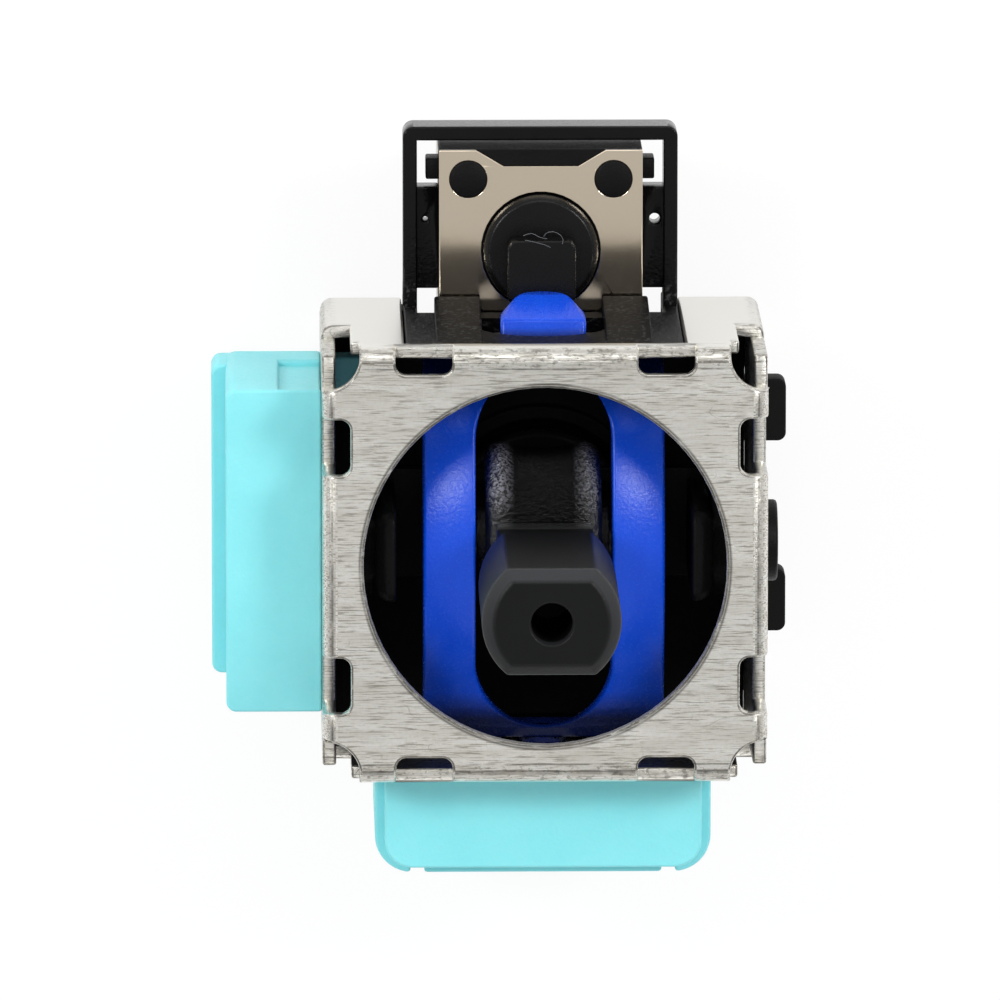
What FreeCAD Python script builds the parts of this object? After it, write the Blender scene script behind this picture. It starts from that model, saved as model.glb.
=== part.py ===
import FreeCAD, Part
import os
import Sketcher

# Two-axis thumb stick module with two rotary sensors and a push switch.
# Millimetres, +Z up along the lever, +Y toward the push switch.
# The origin is on the circuit board seat, straight below the lever.

DOC = FreeCAD.newDocument("analog_stick")
SHEET = DOC.addObject("Spreadsheet::Sheet", "Sizes")

# Driving dimensions
CELLS = {
    "cover_width": 13.0,
    "sheet": 0.4,
    "cover_top": 10.0,
    "cover_foot": 1.2,
    "bend_radius": 0.65,
    "bend_tight": 0.45,
    "window_rim": 1.2,
    "relief_radius": 1.0,
    "relief_inset_x": 0.1,
    "relief_inset_y": 0.3,
    "relief_depth": 1.1,
    "corner_gap": 0.44,
    "apron_top": 6.0,
    "apron_corner": 0.35,
    "slot_long": 1.65,
    "slot_side": 2.97,
    "slot_inset": 0.83,
    "slot_deep": 0.55,
    "slot_side_deep": 2.2,
    "slot_corner": 0.3,
    "doorway_side": 1.1,
    "doorway_lintel": 0.75,
    "leg_width": 1.2,
    "leg_side": 1.6,
    "leg_deep": 3.0,
    "leg_taper": 0.35,
    "slip": 0.05,
    "axis_height": 5.8,
    "journal_radius": 1.2,
    "floor_thick": 1.2,
    "floor_web": 0.3,
    "seat_radius": 2.6,
    "seat_gap": 0.3,
    "seat_thick": 0.5,
    "seat_top": 1.9,
    "ring_wall": 0.4,
    "ring_top": 1.7,
    "bridge_deep": 0.5,
    "bridge_recess": 0.05,
    "ledge_side": 0.15,
    "ledge_out": 0.48,
    "ledge_step": 0.35,
    "ledge_gap": 0.1,
    "nose_door": 1.95,
    "nose_door_drop": 1.15,
    "collar_space": 0.64,
    "collar_gap": 0.15,
    "collar_wall": 0.42,
    "collar_low": 1.25,
    "collar_top": 2.6,
    "collar_corner": 0.32,
    "rib_front": 1.46,
    "rib_back": 1.7,
    "rib_top": 2.2,
    "vent_side": 0.39,
    "vent_back": 0.74,
    "vent_radius": 0.16,
    "pinhole_radius": 0.08,
    "lug_width": 1.87,
    "lug_place": 2.88,
    "lug_shift": 0.15,
    "lug_reach": 0.85,
    "lug_high": 1.0,
    "lug_corner": 0.25,
    "switch_width": 6.0,
    "switch_under": 1.24,
    "switch_high": 3.3,
    "plate_thick": 0.2,
    "plate_notch_half": 1.08,
    "plate_notch_slope": 0.83,
    "plate_notch_deep": 0.48,
    "rivet_radius": 0.55,
    "rivet_inset": 0.86,
    "rivet_proud": 0.04,
    "button_side": 1.3,
    "button_high": 3.9,
    "button_slope": 0.16,
    "flange_rim": 0.4,
    "flange_thick": 0.3,
    "flange_low": 2.86,
    "post_side": 0.7,
    "post_round": 0.3,
    "post_ahead": 0.55,
    "post_extra": 0.05,
    "post_gap": 0.03,
    "dome_side": 0.9,
    "dome_flat": 0.9,
    "dome_rise": 0.35,
    "dome_thick": 0.1,
    "dome_seat": 1.9,
    "well_side": 0.7,
    "bump_out": 0.38,
    "bump_back": 1.94,
    "bump_long": 0.62,
    "tail_width": 0.7,
    "tail_thick": 0.25,
    "tail_inset": 0.75,
    "tail_top": 0.9,
    "pot_side": 1.7,
    "pot_wide_side": 1.55,
    "pot_top": 7.4,
    "pot_low": 0.6,
    "pot_deep": 2.81,
    "pot_bulge": 0.47,
    "pot_round": 0.3,
    "pot_wide_round": 1.1,
    "pot_lip": 0.28,
    "pot_lip_drop": 0.7,
    "groove_side": 1.25,
    "groove_wide": 0.4,
    "groove_deep": 0.14,
    "pot_recess": 0.19,
    "pot_recess_long": 1.25,
    "pot_recess_drop": 0.25,
    "terrace_side": 1.85,
    "terrace_out": 0.43,
    "terrace_top": 2.2,
    "board_thick": 0.5,
    "board_side": 0.6,
    "board_low": 0.9,
    "board_top": 7.0,
    "sensor_side": 0.3,
    "sensor_low": 1.2,
    "sensor_wall": 0.36,
    "sensor_top": 6.4,
    "rotor_inset": 0.42,
    "rotor_wall": 0.31,
    "slot_half_wide": 0.6,
    "slot_half_high": 0.74,
    "tongue_slack": 0.05,
    "tongue_short": 0.8,
    "rocker_out": 0.7,
    "rocker_slack": 0.02,
    "fan_top_half": 0.9,
    "fan_low_half": 1.5,
    "fan_deep": 4.1,
    "fan_thick": 0.6,
    "fan_gap": 0.85,
    "wiper_thick": 0.12,
    "wiper_half": 0.9,
    "wiper_high": 2.3,
    "pin_width": 0.8,
    "pin_thick": 0.3,
    "pin_pitch": 2.5,
    "pin_out": 0.22,
    "pin_top": 1.6,
    "yoke_clear": 0.795,
    "yoke_slot_half": 2.0,
    "yoke_slot_inset": 0.38,
    "yoke_inset": 0.75,
    "yoke_shoulder": 0.8,
    "yoke_arc": 10.08,
    "yoke_skirt": 0.6,
    "yoke_foot": 0.35,
    "yoke_rail_low": 0.55,
    "yoke_boss": 1.15,
    "neck_boss": 1.5,
    "nose_half": 1.25,
    "nose_tip_half": 0.75,
    "nose_belly": 0.75,
    "nose_top": 1.3,
    "nose_tip_top": 0.1,
    "nose_slope": 0.5,
    "nose_out": 0.83,
    "nose_flare": 0.3,
    "pivot_radius": 0.6,
    "pivot_inset": 0.135,
    "cradle_inset": 1.55,
    "cradle_arm": 0.62,
    "cradle_half": 1.36,
    "cradle_top": 2.75,
    "cradle_corner": 0.5,
    "cradle_slope": 0.25,
    "web_half": 1.65,
    "web_gap": 0.6,
    "web_thick": 0.5,
    "web_slot_half": 1.2,
    "web_slot_inset": 1.23,
    "cradle_boss": 1.6,
    "stub_out": 0.4,
    "hub_radius": 2.95,
    "hub_half": 1.7,
    "hub_cut": 1.4,
    "hub_round": 0.45,
    "hub_waist": 0.21,
    "hub_shoulder": 0.7,
    "hub_boss": 1.05,
    "stem_radius": 1.0,
    "foot_gap": 0.15,
    "neck_half_x": 1.4,
    "neck_half_y": 1.05,
    "shaft_start": 6.9,
    "shaft_end": 12.9,
    "shaft_radius": 2.0,
    "flat_half": 1.55,
    "tip_bevel": 0.35,
    "core_radius": 0.6,
    "core_deep": 4.0,
    "wire_radius": 0.15,
    "coil_radius": 2.1,
    "coil_turns": 2.0,
}


class Size:
    """A length that is both a number and the text of a spreadsheet expression."""

    def __init__(self, text, value):
        self.text = text
        self.value = value

    def join(self, sign, other, value):
        return Size("(%s %s %s)" % (self.text, sign, other.text), value)

    def __add__(self, other):
        other = as_size(other)
        return self.join("+", other, self.value + other.value)

    def __sub__(self, other):
        other = as_size(other)
        return self.join("-", other, self.value - other.value)

    def __mul__(self, other):
        other = as_size(other)
        return self.join("*", other, self.value * other.value)

    def __truediv__(self, other):
        other = as_size(other)
        return self.join("/", other, self.value / other.value)

    def __rsub__(self, other):
        return as_size(other) - self

    def __neg__(self):
        return Size("(-%s)" % self.text, -self.value)


def as_size(number):
    if isinstance(number, Size):
        return number
    return Size("(%r)" % float(number), float(number))


class Names:
    """Each cell of the sheet as an attribute."""


def fill_sheet():
    names = Names()
    for row, (alias, number) in enumerate(CELLS.items(), start=1):
        SHEET.set("A%d" % row, alias)
        SHEET.set("B%d" % row, repr(number))
        SHEET.setAlias("B%d" % row, alias)
        setattr(names, alias, Size("Sizes." + alias, number))
    DOC.recompute()
    return names


S = fill_sheet()
PARTS = {}


def bind(thing, name, size):
    size = as_size(size)
    thing.setExpression(name, size.text)


# Sketches


def fix_point(sketch, edge, place, spot):
    """Ties one end of an edge to its distances from the sketch's origin."""
    for axis, word, size in ((-2, "DistanceX", spot[0]), (-1, "DistanceY", spot[1])):
        size = as_size(size)
        if size.value == 0:
            sketch.addConstraint(Sketcher.Constraint("PointOnObject", edge, place, axis))
        else:
            rule = Sketcher.Constraint(word, -1, 1, edge, place, size.value)
            number = sketch.addConstraint(rule)
            bind(sketch, "Constraints[%d]" % number, size)


def vector(spot):
    return FreeCAD.Vector(as_size(spot[0]).value, as_size(spot[1]).value, 0)


def arc_between(start, end, radius):
    """An arc that turns left from start to end, or right where the radius is negative."""
    chord = end - start
    side = FreeCAD.Vector(-chord.y, chord.x, 0).normalize()
    middle = (start + end) * 0.5
    reach = abs(radius)
    drop = max(reach ** 2 - (chord.Length / 2) ** 2, 0.0) ** 0.5
    sign = 1 if radius > 0 else -1
    centre = middle + side * drop * sign
    crown = centre - side * reach * sign
    return Part.Arc(start, crown, end)


def outline(sketch, spots):
    """A closed outline. A spot with a third value starts an arc of that radius."""
    first = sketch.GeometryCount
    count = len(spots)
    ends = []
    for index, spot in enumerate(spots):
        start = vector(spot)
        end = vector(spots[(index + 1) % count])
        if len(spot) == 2:
            sketch.addGeometry(Part.LineSegment(start, end), False)
            ends.append((1, 2))
        else:
            radius = as_size(spot[2]).value
            sketch.addGeometry(arc_between(start, end, radius), False)
            ends.append((1, 2) if radius > 0 else (2, 1))
    for index in range(count):
        after = (index + 1) % count
        one = (first + index, ends[index][1])
        other = (first + after, ends[after][0])
        sketch.addConstraint(Sketcher.Constraint("Coincident", *one, *other))
    for index, spot in enumerate(spots):
        fix_point(sketch, first + index, ends[index][0], spot)
        if len(spot) == 3:
            chord = vector(spot) - vector(spots[(index + 1) % count])
            fix_arc(sketch, first + index, chord, as_size(spot[2]))


def fix_arc(sketch, edge, chord, radius):
    """Ties an arc by its radius, or a half circle by a centre level with its ends."""
    if chord.Length < 1.999 * abs(radius.value):
        size = radius if radius.value > 0 else -radius
        number = sketch.addConstraint(Sketcher.Constraint("Radius", edge, size.value))
        bind(sketch, "Constraints[%d]" % number, size)
    else:
        level = "Horizontal" if abs(chord.x) > abs(chord.y) else "Vertical"
        sketch.addConstraint(Sketcher.Constraint(level, edge, 3, edge, 1))


def ring(sketch, centre, radius):
    circle = Part.Circle(vector(centre), FreeCAD.Vector(0, 0, 1), as_size(radius).value)
    edge = sketch.addGeometry(circle, False)
    fix_point(sketch, edge, 3, centre)
    number = sketch.addConstraint(Sketcher.Constraint("Radius", edge, as_size(radius).value))
    bind(sketch, "Constraints[%d]" % number, radius)


def rectangle(low, high):
    return [(low[0], low[1]), (high[0], low[1]), (high[0], high[1]), (low[0], high[1])]


def centred(half_x, half_y):
    return rectangle((-half_x, -half_y), (half_x, half_y))


# Part design features


def new_body(name):
    body = DOC.addObject("PartDesign::Body", name)
    body.Label = name
    PARTS[name] = body
    return body


def new_sketch(body, role, offset, shapes):
    sketch = body.newObject("Sketcher::SketchObject", body.Name + "_sketch")
    plane = [item for item in body.Origin.OriginFeatures if item.Role == role][0]
    sketch.AttachmentSupport = [(plane, "")]
    sketch.MapMode = "FlatFace"
    bind(sketch, "AttachmentOffset.Base.z", offset)
    for shape in shapes:
        if isinstance(shape, list):
            outline(sketch, shape)
        else:
            ring(sketch, shape[0], shape[1])
    return sketch


# A sketch on the XZ plane faces -Y, so its distances along Y change sign.
FACING = {"XY_Plane": 1, "XZ_Plane": -1, "YZ_Plane": 1}


def prism(body, kind, role, shapes, low, high):
    """A pad or pocket between two distances along the plane's axis."""
    near, far = (low, high) if FACING[role] == 1 else (-as_size(high), -as_size(low))
    before = body.Tip.Shape.Volume if body.Tip else 0.0
    start = near if kind == "Pad" else far
    sketch = new_sketch(body, role, start, shapes)
    feature = body.newObject("PartDesign::" + kind, body.Name + "_" + kind.lower())
    feature.Profile = sketch
    bind(feature, "Length", as_size(far) - near)
    body.Tip = feature
    DOC.recompute()
    after = feature.Shape.Volume
    if abs(after - before) < 1e-6:
        raise ValueError("%s changed nothing" % feature.Name)
    return feature


def pad(body, role, shapes, low, high):
    return prism(body, "Pad", role, shapes, low, high)


def pocket(body, role, shapes, low, high):
    return prism(body, "Pocket", role, shapes, low, high)


def spin(body, role, shape, start, end):
    """An outline turned once round the line between two spots of its sketch."""
    sketch = new_sketch(body, role, 0, [shape])
    axis = sketch.addGeometry(Part.LineSegment(vector(start), vector(end)), True)
    fix_point(sketch, axis, 1, start)
    fix_point(sketch, axis, 2, end)
    feature = body.newObject("PartDesign::Revolution", body.Name + "_turn")
    feature.Profile = sketch
    feature.ReferenceAxis = (sketch, ["Axis0"])
    body.Tip = feature
    DOC.recompute()
    return feature


def edges_where(shape, test):
    names = []
    for number, edge in enumerate(shape.Edges, start=1):
        if test(edge.BoundBox):
            names.append("Edge%d" % number)
    return names


def near(first, second):
    return abs(first - as_size(second).value) < 1e-4


def soften(body, kind, size, test):
    """A fillet or chamfer on the edges whose bounds pass the test."""
    last = body.Tip
    names = edges_where(last.Shape, test)
    if not names:
        raise ValueError("no edge to soften on " + body.Name)
    feature = body.newObject("PartDesign::" + kind, body.Name + "_" + kind.lower())
    feature.Base = (last, names)
    amount = "Radius" if kind == "Fillet" else "Size"
    setattr(feature, amount, as_size(size).value)
    bind(feature, amount, size)
    body.Tip = feature
    DOC.recompute()
    return feature


# Plain primitives


def block(name, low, high):
    item = DOC.addObject("Part::Box", name)
    for index, (side, axis) in enumerate((("Length", "x"), ("Width", "y"), ("Height", "z"))):
        bind(item, side, as_size(high[index]) - low[index])
        bind(item, "Placement.Base." + axis, low[index])
    return item


TURN = {
    "x": FreeCAD.Rotation(FreeCAD.Vector(0, 1, 0), 90),
    "y": FreeCAD.Rotation(FreeCAD.Vector(1, 0, 0), -90),
    "z": FreeCAD.Rotation(),
}


def rod(name, radius, axis, centre, low, high):
    """A cylinder along an axis, between two distances, at its centre on the other two axes."""
    item = DOC.addObject("Part::Cylinder", name)
    item.Placement = FreeCAD.Placement(FreeCAD.Vector(), TURN[axis])
    bind(item, "Radius", radius)
    bind(item, "Height", as_size(high) - low)
    others = [letter for letter in "xyz" if letter != axis]
    bind(item, "Placement.Base." + axis, low)
    for letter, size in zip(others, centre):
        bind(item, "Placement.Base." + letter, size)
    return item


def fuse(name, items):
    item = DOC.addObject("Part::MultiFuse", name)
    item.Shapes = items
    item.Refine = True
    return item


def cut(name, base, tool):
    item = DOC.addObject("Part::Cut", name)
    item.Base = base
    item.Tool = tool
    item.Refine = True
    return item


def keep(item, name):
    item.Label = name
    PARTS[name] = item
    return item


# Places that follow from the sizes above
HALF = S.cover_width / 2
INNER = HALF - S.sheet
BORE = S.journal_radius + S.slip
AXIS = S.axis_height
SIDES = (-1, 1)
WINDOW = HALF - S.window_rim
SLOT_PLACE = HALF - S.slot_side
LEG_PLACE = HALF - S.leg_side
BRIDGE_START = HALF - S.bridge_deep
BRIDGE_FACE = HALF - S.bridge_recess

SWITCH_HALF = S.switch_width / 2
SWITCH_START = HALF - S.switch_under
SWITCH_Y = SWITCH_START + SWITCH_HALF
SWITCH_END = SWITCH_Y + SWITCH_HALF
DOORWAY_HALF = SWITCH_HALF + S.doorway_side
COLLAR_INNER = SWITCH_HALF + S.collar_space
COLLAR_HALF = COLLAR_INNER + S.collar_wall
RIVET_PLACE = SWITCH_HALF - S.rivet_inset
TAIL_PLACE = SWITCH_HALF - S.tail_inset
BUTTON = SWITCH_HALF - S.button_side
APERTURE = BUTTON + S.slip
POST_START = HALF + S.post_ahead

POT_START = HALF
BOARD_BACK = POT_START + S.board_thick
POT_HALF = HALF - S.pot_side
POT_WIDE_HALF = HALF - S.pot_wide_side
BOARD_HALF = POT_HALF - S.board_side
POT_REACH = HALF + S.pot_deep
ROTOR_IN = HALF - S.rotor_inset
ROTOR_OUT = POT_REACH - S.rotor_wall
TONGUE_END = ROTOR_OUT - S.tongue_short
FAN_PLACE = HALF + S.fan_gap
PIN_PLACE = HALF + S.pin_out

CRADLE_OUTER = HALF - S.cradle_inset
CRADLE_INNER = CRADLE_OUTER - S.cradle_arm
YOKE_HALF = CRADLE_INNER - S.yoke_clear
YOKE_END = HALF - S.yoke_inset
YOKE_SLOT_END = YOKE_END - S.yoke_slot_inset
NOSE_END = HALF + S.nose_out
NOSE_BEND = NOSE_END - S.nose_slope

FOOT = S.seat_top + S.foot_gap
WEB_LOW = S.seat_top + S.web_gap
WEB_TOP = WEB_LOW + S.web_thick


def mirrored(spots, sign_x, sign_y):
    return [(as_size(x) * sign_x, as_size(y) * sign_y) for x, y in spots]


# Folded steel cover: a cross-shaped blank with its four walls bent down


def channel(outer):
    """Section of a plate with two walls bent down from it to an outer radius, as a closed outline."""
    top = S.cover_top
    under = top - S.sheet
    inner = outer - S.sheet
    return [
        (HALF, S.cover_foot),
        (HALF, top - outer, outer),
        (HALF - outer, top),
        (-HALF + outer, top, outer),
        (-HALF, top - outer),
        (-HALF, S.cover_foot),
        (-INNER, S.cover_foot),
        (-INNER, under - inner, -inner),
        (-INNER + inner, under),
        (INNER - inner, under, -inner),
        (INNER, under - inner),
        (INNER, S.cover_foot),
    ]


def metal_cover():
    body = new_body("metal_cover")
    wall_end = HALF - S.sheet - S.corner_gap
    under = S.cover_top - S.sheet
    pad(body, "XZ_Plane", [channel(S.bend_tight)], -INNER, INNER)
    pad(body, "YZ_Plane", [channel(S.bend_radius)], -wall_end, wall_end)
    pocket(body, "XY_Plane", [((0, 0), WINDOW)], under, S.cover_top)
    across = HALF - S.relief_inset_x
    along = HALF - S.relief_inset_y
    holes = [((across * x, along * y), S.relief_radius) for x in SIDES for y in SIDES]
    pocket(body, "XY_Plane", holes, S.cover_top - S.relief_depth, S.cover_top)
    bend_slots(body)
    for y in SIDES:
        corner = S.apron_corner
        apron = [(-HALF, INNER), (HALF, INNER), (HALF, HALF - corner, corner), (HALF - corner, HALF)]
        apron += [(corner - HALF, HALF, corner), (-HALF, HALF - corner)]
        if y == -1:
            apron = turned(apron)
        pad(body, "XY_Plane", [apron], S.cover_foot, S.apron_top)
    doorway = rectangle((-DOORWAY_HALF, S.cover_foot), (DOORWAY_HALF, S.cover_top - S.doorway_lintel))
    pocket(body, "XZ_Plane", [doorway], INNER, HALF)
    journal_slots(body)
    cover_legs(body)


def turned(spots):
    """An outline turned half round about the origin."""
    return [(-as_size(spot[0]), -as_size(spot[1])) + tuple(spot[2:]) for spot in spots]


def bend_slots(body):
    """Eight slots pierced on the bend lines, two to a wall, round at their inner corners."""
    inner = HALF - S.slot_inset
    corner = S.slot_corner
    side_slots = []
    end_slots = []
    for place in SIDES:
        low = SLOT_PLACE * place - S.slot_long / 2
        high = SLOT_PLACE * place + S.slot_long / 2
        side_slot = [(HALF, low), (HALF, high), (inner + corner, high, corner), (inner, high - corner)]
        side_slot += [(inner, low + corner, corner), (inner + corner, low)]
        end_slot = [(high, HALF), (low, HALF), (low, inner + corner, corner), (low + corner, inner)]
        end_slot += [(high - corner, inner, corner), (high, inner + corner)]
        side_slots += [side_slot, turned(side_slot)]
        end_slots += [end_slot, turned(end_slot)]
    pocket(body, "XY_Plane", side_slots, S.cover_top - S.slot_side_deep, S.cover_top)
    pocket(body, "XY_Plane", end_slots, S.cover_top - S.slot_deep, S.cover_top)


def journal_slots(body):
    """Slots open at the foot of a wall, round at the top, for the yokes' journals."""
    spots = [(-BORE, S.cover_foot), (BORE, S.cover_foot), (BORE, AXIS, BORE), (-BORE, AXIS)]
    pocket(body, "XZ_Plane", [spots], -HALF, -INNER)
    for low, high in ((-HALF, -INNER), (INNER, HALF)):
        pocket(body, "YZ_Plane", [spots], low, high)


def cover_legs(body):
    """Four solder legs, cut to a taper at the tip."""
    half = S.leg_width / 2
    for low, high in ((-HALF, -INNER), (INNER, HALF)):
        for side in SIDES:
            middle = LEG_PLACE * side
            spots = [
                (middle - half, S.cover_foot),
                (middle - half, -S.leg_deep + S.leg_taper),
                (middle - half + S.leg_taper, -S.leg_deep),
                (middle + half - S.leg_taper, -S.leg_deep),
                (middle + half, -S.leg_deep + S.leg_taper),
                (middle + half, S.cover_foot),
            ]
            pad(body, "YZ_Plane", [spots], low, high)


# Moulded base: floor, spring well, bridge over the switch and the switch collar


def base():
    body = new_body("base")
    floor = INNER
    pad(body, "XY_Plane", [centred(floor, floor)], 0, S.floor_thick)
    well = S.seat_radius + S.seat_gap
    pad(body, "XY_Plane", [((0, 0), well + S.ring_wall)], 0, S.ring_top)
    pocket(body, "XY_Plane", [((0, 0), well)], S.floor_web, S.ring_top)
    bridge_half = DOORWAY_HALF - S.slip
    face = BRIDGE_FACE
    bridge_top = S.cover_top - S.doorway_lintel - S.slip * 2
    pad(body, "XY_Plane", [rectangle((-bridge_half, BRIDGE_START), (bridge_half, face))], 0, bridge_top)
    clear = APERTURE + S.slip
    ledge_end = SWITCH_HALF + S.ledge_side
    cheek = [
        (face, S.switch_high),
        (face + S.ledge_out, S.switch_high),
        (face + S.ledge_out, S.switch_high + S.ledge_step),
        (face, bridge_top),
    ]
    for side in SIDES:
        ends = (clear, ledge_end) if side == 1 else (-ledge_end, -clear)
        pad(body, "YZ_Plane", [cheek], ends[0], ends[1])
    switch_collar(body, face)
    bay_top = S.switch_high + S.plate_thick + S.ledge_gap
    bay = rectangle((-COLLAR_INNER, SWITCH_START - S.slip), (COLLAR_INNER, face + S.ledge_out))
    pocket(body, "XY_Plane", [bay], 0, bay_top)
    door = [
        (-S.nose_door, AXIS - S.nose_door_drop),
        (S.nose_door, AXIS - S.nose_door_drop),
        (S.nose_door, AXIS, S.nose_door),
        (-S.nose_door, AXIS),
    ]
    pocket(body, "XZ_Plane", [door], BRIDGE_START, face)
    journal_saddles(body)
    for side in SIDES:
        low = S.lug_shift + S.lug_place * side - S.lug_width / 2
        spots = rectangle((floor, low), (HALF + S.lug_reach, low + S.lug_width))
        pad(body, "XY_Plane", [spots], 0, S.lug_high)

    def lug_edge(box):
        return near(box.XMin, HALF + S.lug_reach) and near(box.XLength, 0) and near(box.YLength, 0)

    soften(body, "Fillet", S.lug_corner, lug_edge)


def switch_collar(body, start):
    """A low frame round the push switch, joined to it by a rib on each side."""
    reach = SWITCH_END + S.collar_gap
    outer = [
        (COLLAR_HALF, start),
        (COLLAR_HALF, reach + S.collar_wall - S.collar_corner, S.collar_corner),
        (COLLAR_HALF - S.collar_corner, reach + S.collar_wall),
        (-COLLAR_HALF + S.collar_corner, reach + S.collar_wall, S.collar_corner),
        (-COLLAR_HALF, reach + S.collar_wall - S.collar_corner),
        (-COLLAR_HALF, start),
    ]
    pad(body, "XY_Plane", [outer], S.collar_low, S.collar_top)
    opening = rectangle((-COLLAR_INNER, start), (COLLAR_INNER, reach))
    pocket(body, "XY_Plane", [opening], S.collar_low, S.collar_top)
    for side in SIDES:
        low, high = (SWITCH_HALF, COLLAR_INNER) if side == 1 else (-COLLAR_INNER, -SWITCH_HALF)
        rib = rectangle((low, SWITCH_Y - S.rib_front), (high, SWITCH_Y + S.rib_back))
        pad(body, "XY_Plane", [rib], S.collar_low, S.rib_top)
    vent_x = SWITCH_HALF + S.vent_side
    vent_y = SWITCH_Y + S.vent_back
    holes = [((vent_x, vent_y), S.vent_radius), ((-vent_x, vent_y), S.pinhole_radius)]
    pocket(body, "XY_Plane", holes, S.collar_low, S.rib_top)


def journal_saddles(body):
    """Posts that fill the cover's journal slots and carry the journals from below."""
    half = S.journal_radius
    face = BRIDGE_FACE
    places = (("YZ_Plane", -face, -INNER), ("YZ_Plane", INNER, face), ("XZ_Plane", -face, -INNER))
    for role, low, high in places:
        pad(body, role, [rectangle((-half, 0), (half, AXIS - half / 2))], low, high)
        pocket(body, role, [((0, AXIS), BORE)], low, high)


# Push switch


def centred_switch(half):
    return rectangle((-half, SWITCH_Y - half), (half, SWITCH_Y + half))


def rivet_places():
    return [(RIVET_PLACE * x, SWITCH_Y + RIVET_PLACE * y) for x in SIDES for y in SIDES]


def switch_body():
    body = new_body("switch_body")
    half = SWITCH_HALF
    pad(body, "XY_Plane", [centred_switch(half)], 0, S.switch_high)
    pocket(body, "XY_Plane", [((0, SWITCH_Y), half - S.well_side)], S.dome_seat, S.switch_high)
    rivets = [(spot, S.rivet_radius) for spot in rivet_places()]
    top = S.switch_high + S.plate_thick + S.rivet_proud
    pad(body, "XY_Plane", rivets, S.floor_thick, top)
    bump_start = SWITCH_Y + S.bump_back
    for side in SIDES:
        low, high = (half, half + S.bump_out) if side == 1 else (-half - S.bump_out, -half)
        bump = rectangle((low, bump_start), (high, bump_start + S.bump_long))
        pad(body, "XY_Plane", [bump], S.collar_low, S.rib_top)
    for side in SIDES:
        for place in SIDES:
            y = SWITCH_Y + TAIL_PLACE * place
            low, high = (half - S.tail_thick, half) if side == 1 else (-half, -half + S.tail_thick)
            notch = rectangle((low, y - S.tail_width / 2), (high, y + S.tail_width / 2))
            pocket(body, "XY_Plane", [notch], 0, S.tail_top)


def switch_plate():
    """Steel plate over the switch, stepped back between its two far rivets."""
    body = new_body("switch_plate")
    half = SWITCH_HALF
    far = SWITCH_END
    slope = S.plate_notch_half + S.plate_notch_slope
    spots = [
        (-half, SWITCH_START),
        (half, SWITCH_START),
        (half, far),
        (slope, far),
        (S.plate_notch_half, far - S.plate_notch_deep),
        (-S.plate_notch_half, far - S.plate_notch_deep),
        (-slope, far),
        (-half, far),
    ]
    top = S.switch_high + S.plate_thick
    pad(body, "XY_Plane", [spots], S.switch_high, top)
    pocket(body, "XY_Plane", [((0, SWITCH_Y), APERTURE)], S.switch_high, top)
    pocket(body, "XY_Plane", [(spot, S.rivet_radius) for spot in rivet_places()], S.switch_high, top)


def switch_terminals():
    """Four legs set in the side walls of the switch."""
    half = SWITCH_HALF
    legs = []
    for side in SIDES:
        for place in SIDES:
            y = SWITCH_Y + TAIL_PLACE * place
            low, high = (half - S.tail_thick, half) if side == 1 else (-half, -half + S.tail_thick)
            name = "switch_leg_%d" % len(legs)
            wide = S.tail_width / 2
            legs.append(block(name, (low, y - wide, -S.leg_deep), (high, y + wide, S.tail_top)))
    keep(fuse("switch_leg_set", legs), "switch_terminals")


def switch_dome():
    """The snap disc: a thin dished spring washer on its seat."""
    body = new_body("switch_dome")
    middle = SWITCH_Y
    rim = middle + SWITCH_HALF - S.dome_side
    crown = middle + S.dome_flat
    low = S.dome_seat
    rise = low + S.dome_rise
    disc = [
        (middle, rise),
        (crown, rise),
        (rim, low),
        (rim, low + S.dome_thick),
        (crown, rise + S.dome_thick),
        (middle, rise + S.dome_thick),
    ]
    spin(body, "YZ_Plane", disc, (middle, 0), (middle, 1))


def switch_plunger():
    """Round button held under the plate by its flange, with a square post on top."""
    body = new_body("switch_plunger")
    middle = (0, SWITCH_Y)
    flange_top = S.flange_low + S.flange_thick
    pad(body, "XY_Plane", [(middle, BUTTON + S.flange_rim)], S.flange_low, flange_top)
    pad(body, "XY_Plane", [(middle, BUTTON)], flange_top, S.button_high)

    def rim(box):
        return near(box.ZMin, S.button_high) and near(box.ZMax, S.button_high)

    soften(body, "Chamfer", S.button_slope, rim)
    half = BUTTON - S.post_side
    far = POST_START + BUTTON + S.post_extra
    top = AXIS - S.nose_belly - S.post_gap
    spots = rectangle((-half, POST_START), (half, far))
    pad(body, "XY_Plane", [spots], flange_top, top)

    def corner(box):
        return box.ZLength > 0.1 and near(box.YMax, far) and near(box.XLength, 0)

    soften(body, "Fillet", S.post_round, corner)


# Rotary sensors: local frame with the rotor pointing along -Y, then turned about Z


def place_pot(item, turn):
    item.Placement = FreeCAD.Placement(FreeCAD.Vector(), FreeCAD.Rotation(FreeCAD.Vector(0, 0, 1), turn))


def pot_plan(half, reach, corner):
    """Plan of a housing, round at its two outer corners."""
    return [
        (half, -POT_START),
        (-half, -POT_START),
        (-half, corner - reach, corner),
        (corner - half, -reach),
        (half - corner, -reach, corner),
        (half, corner - reach),
    ]


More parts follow.
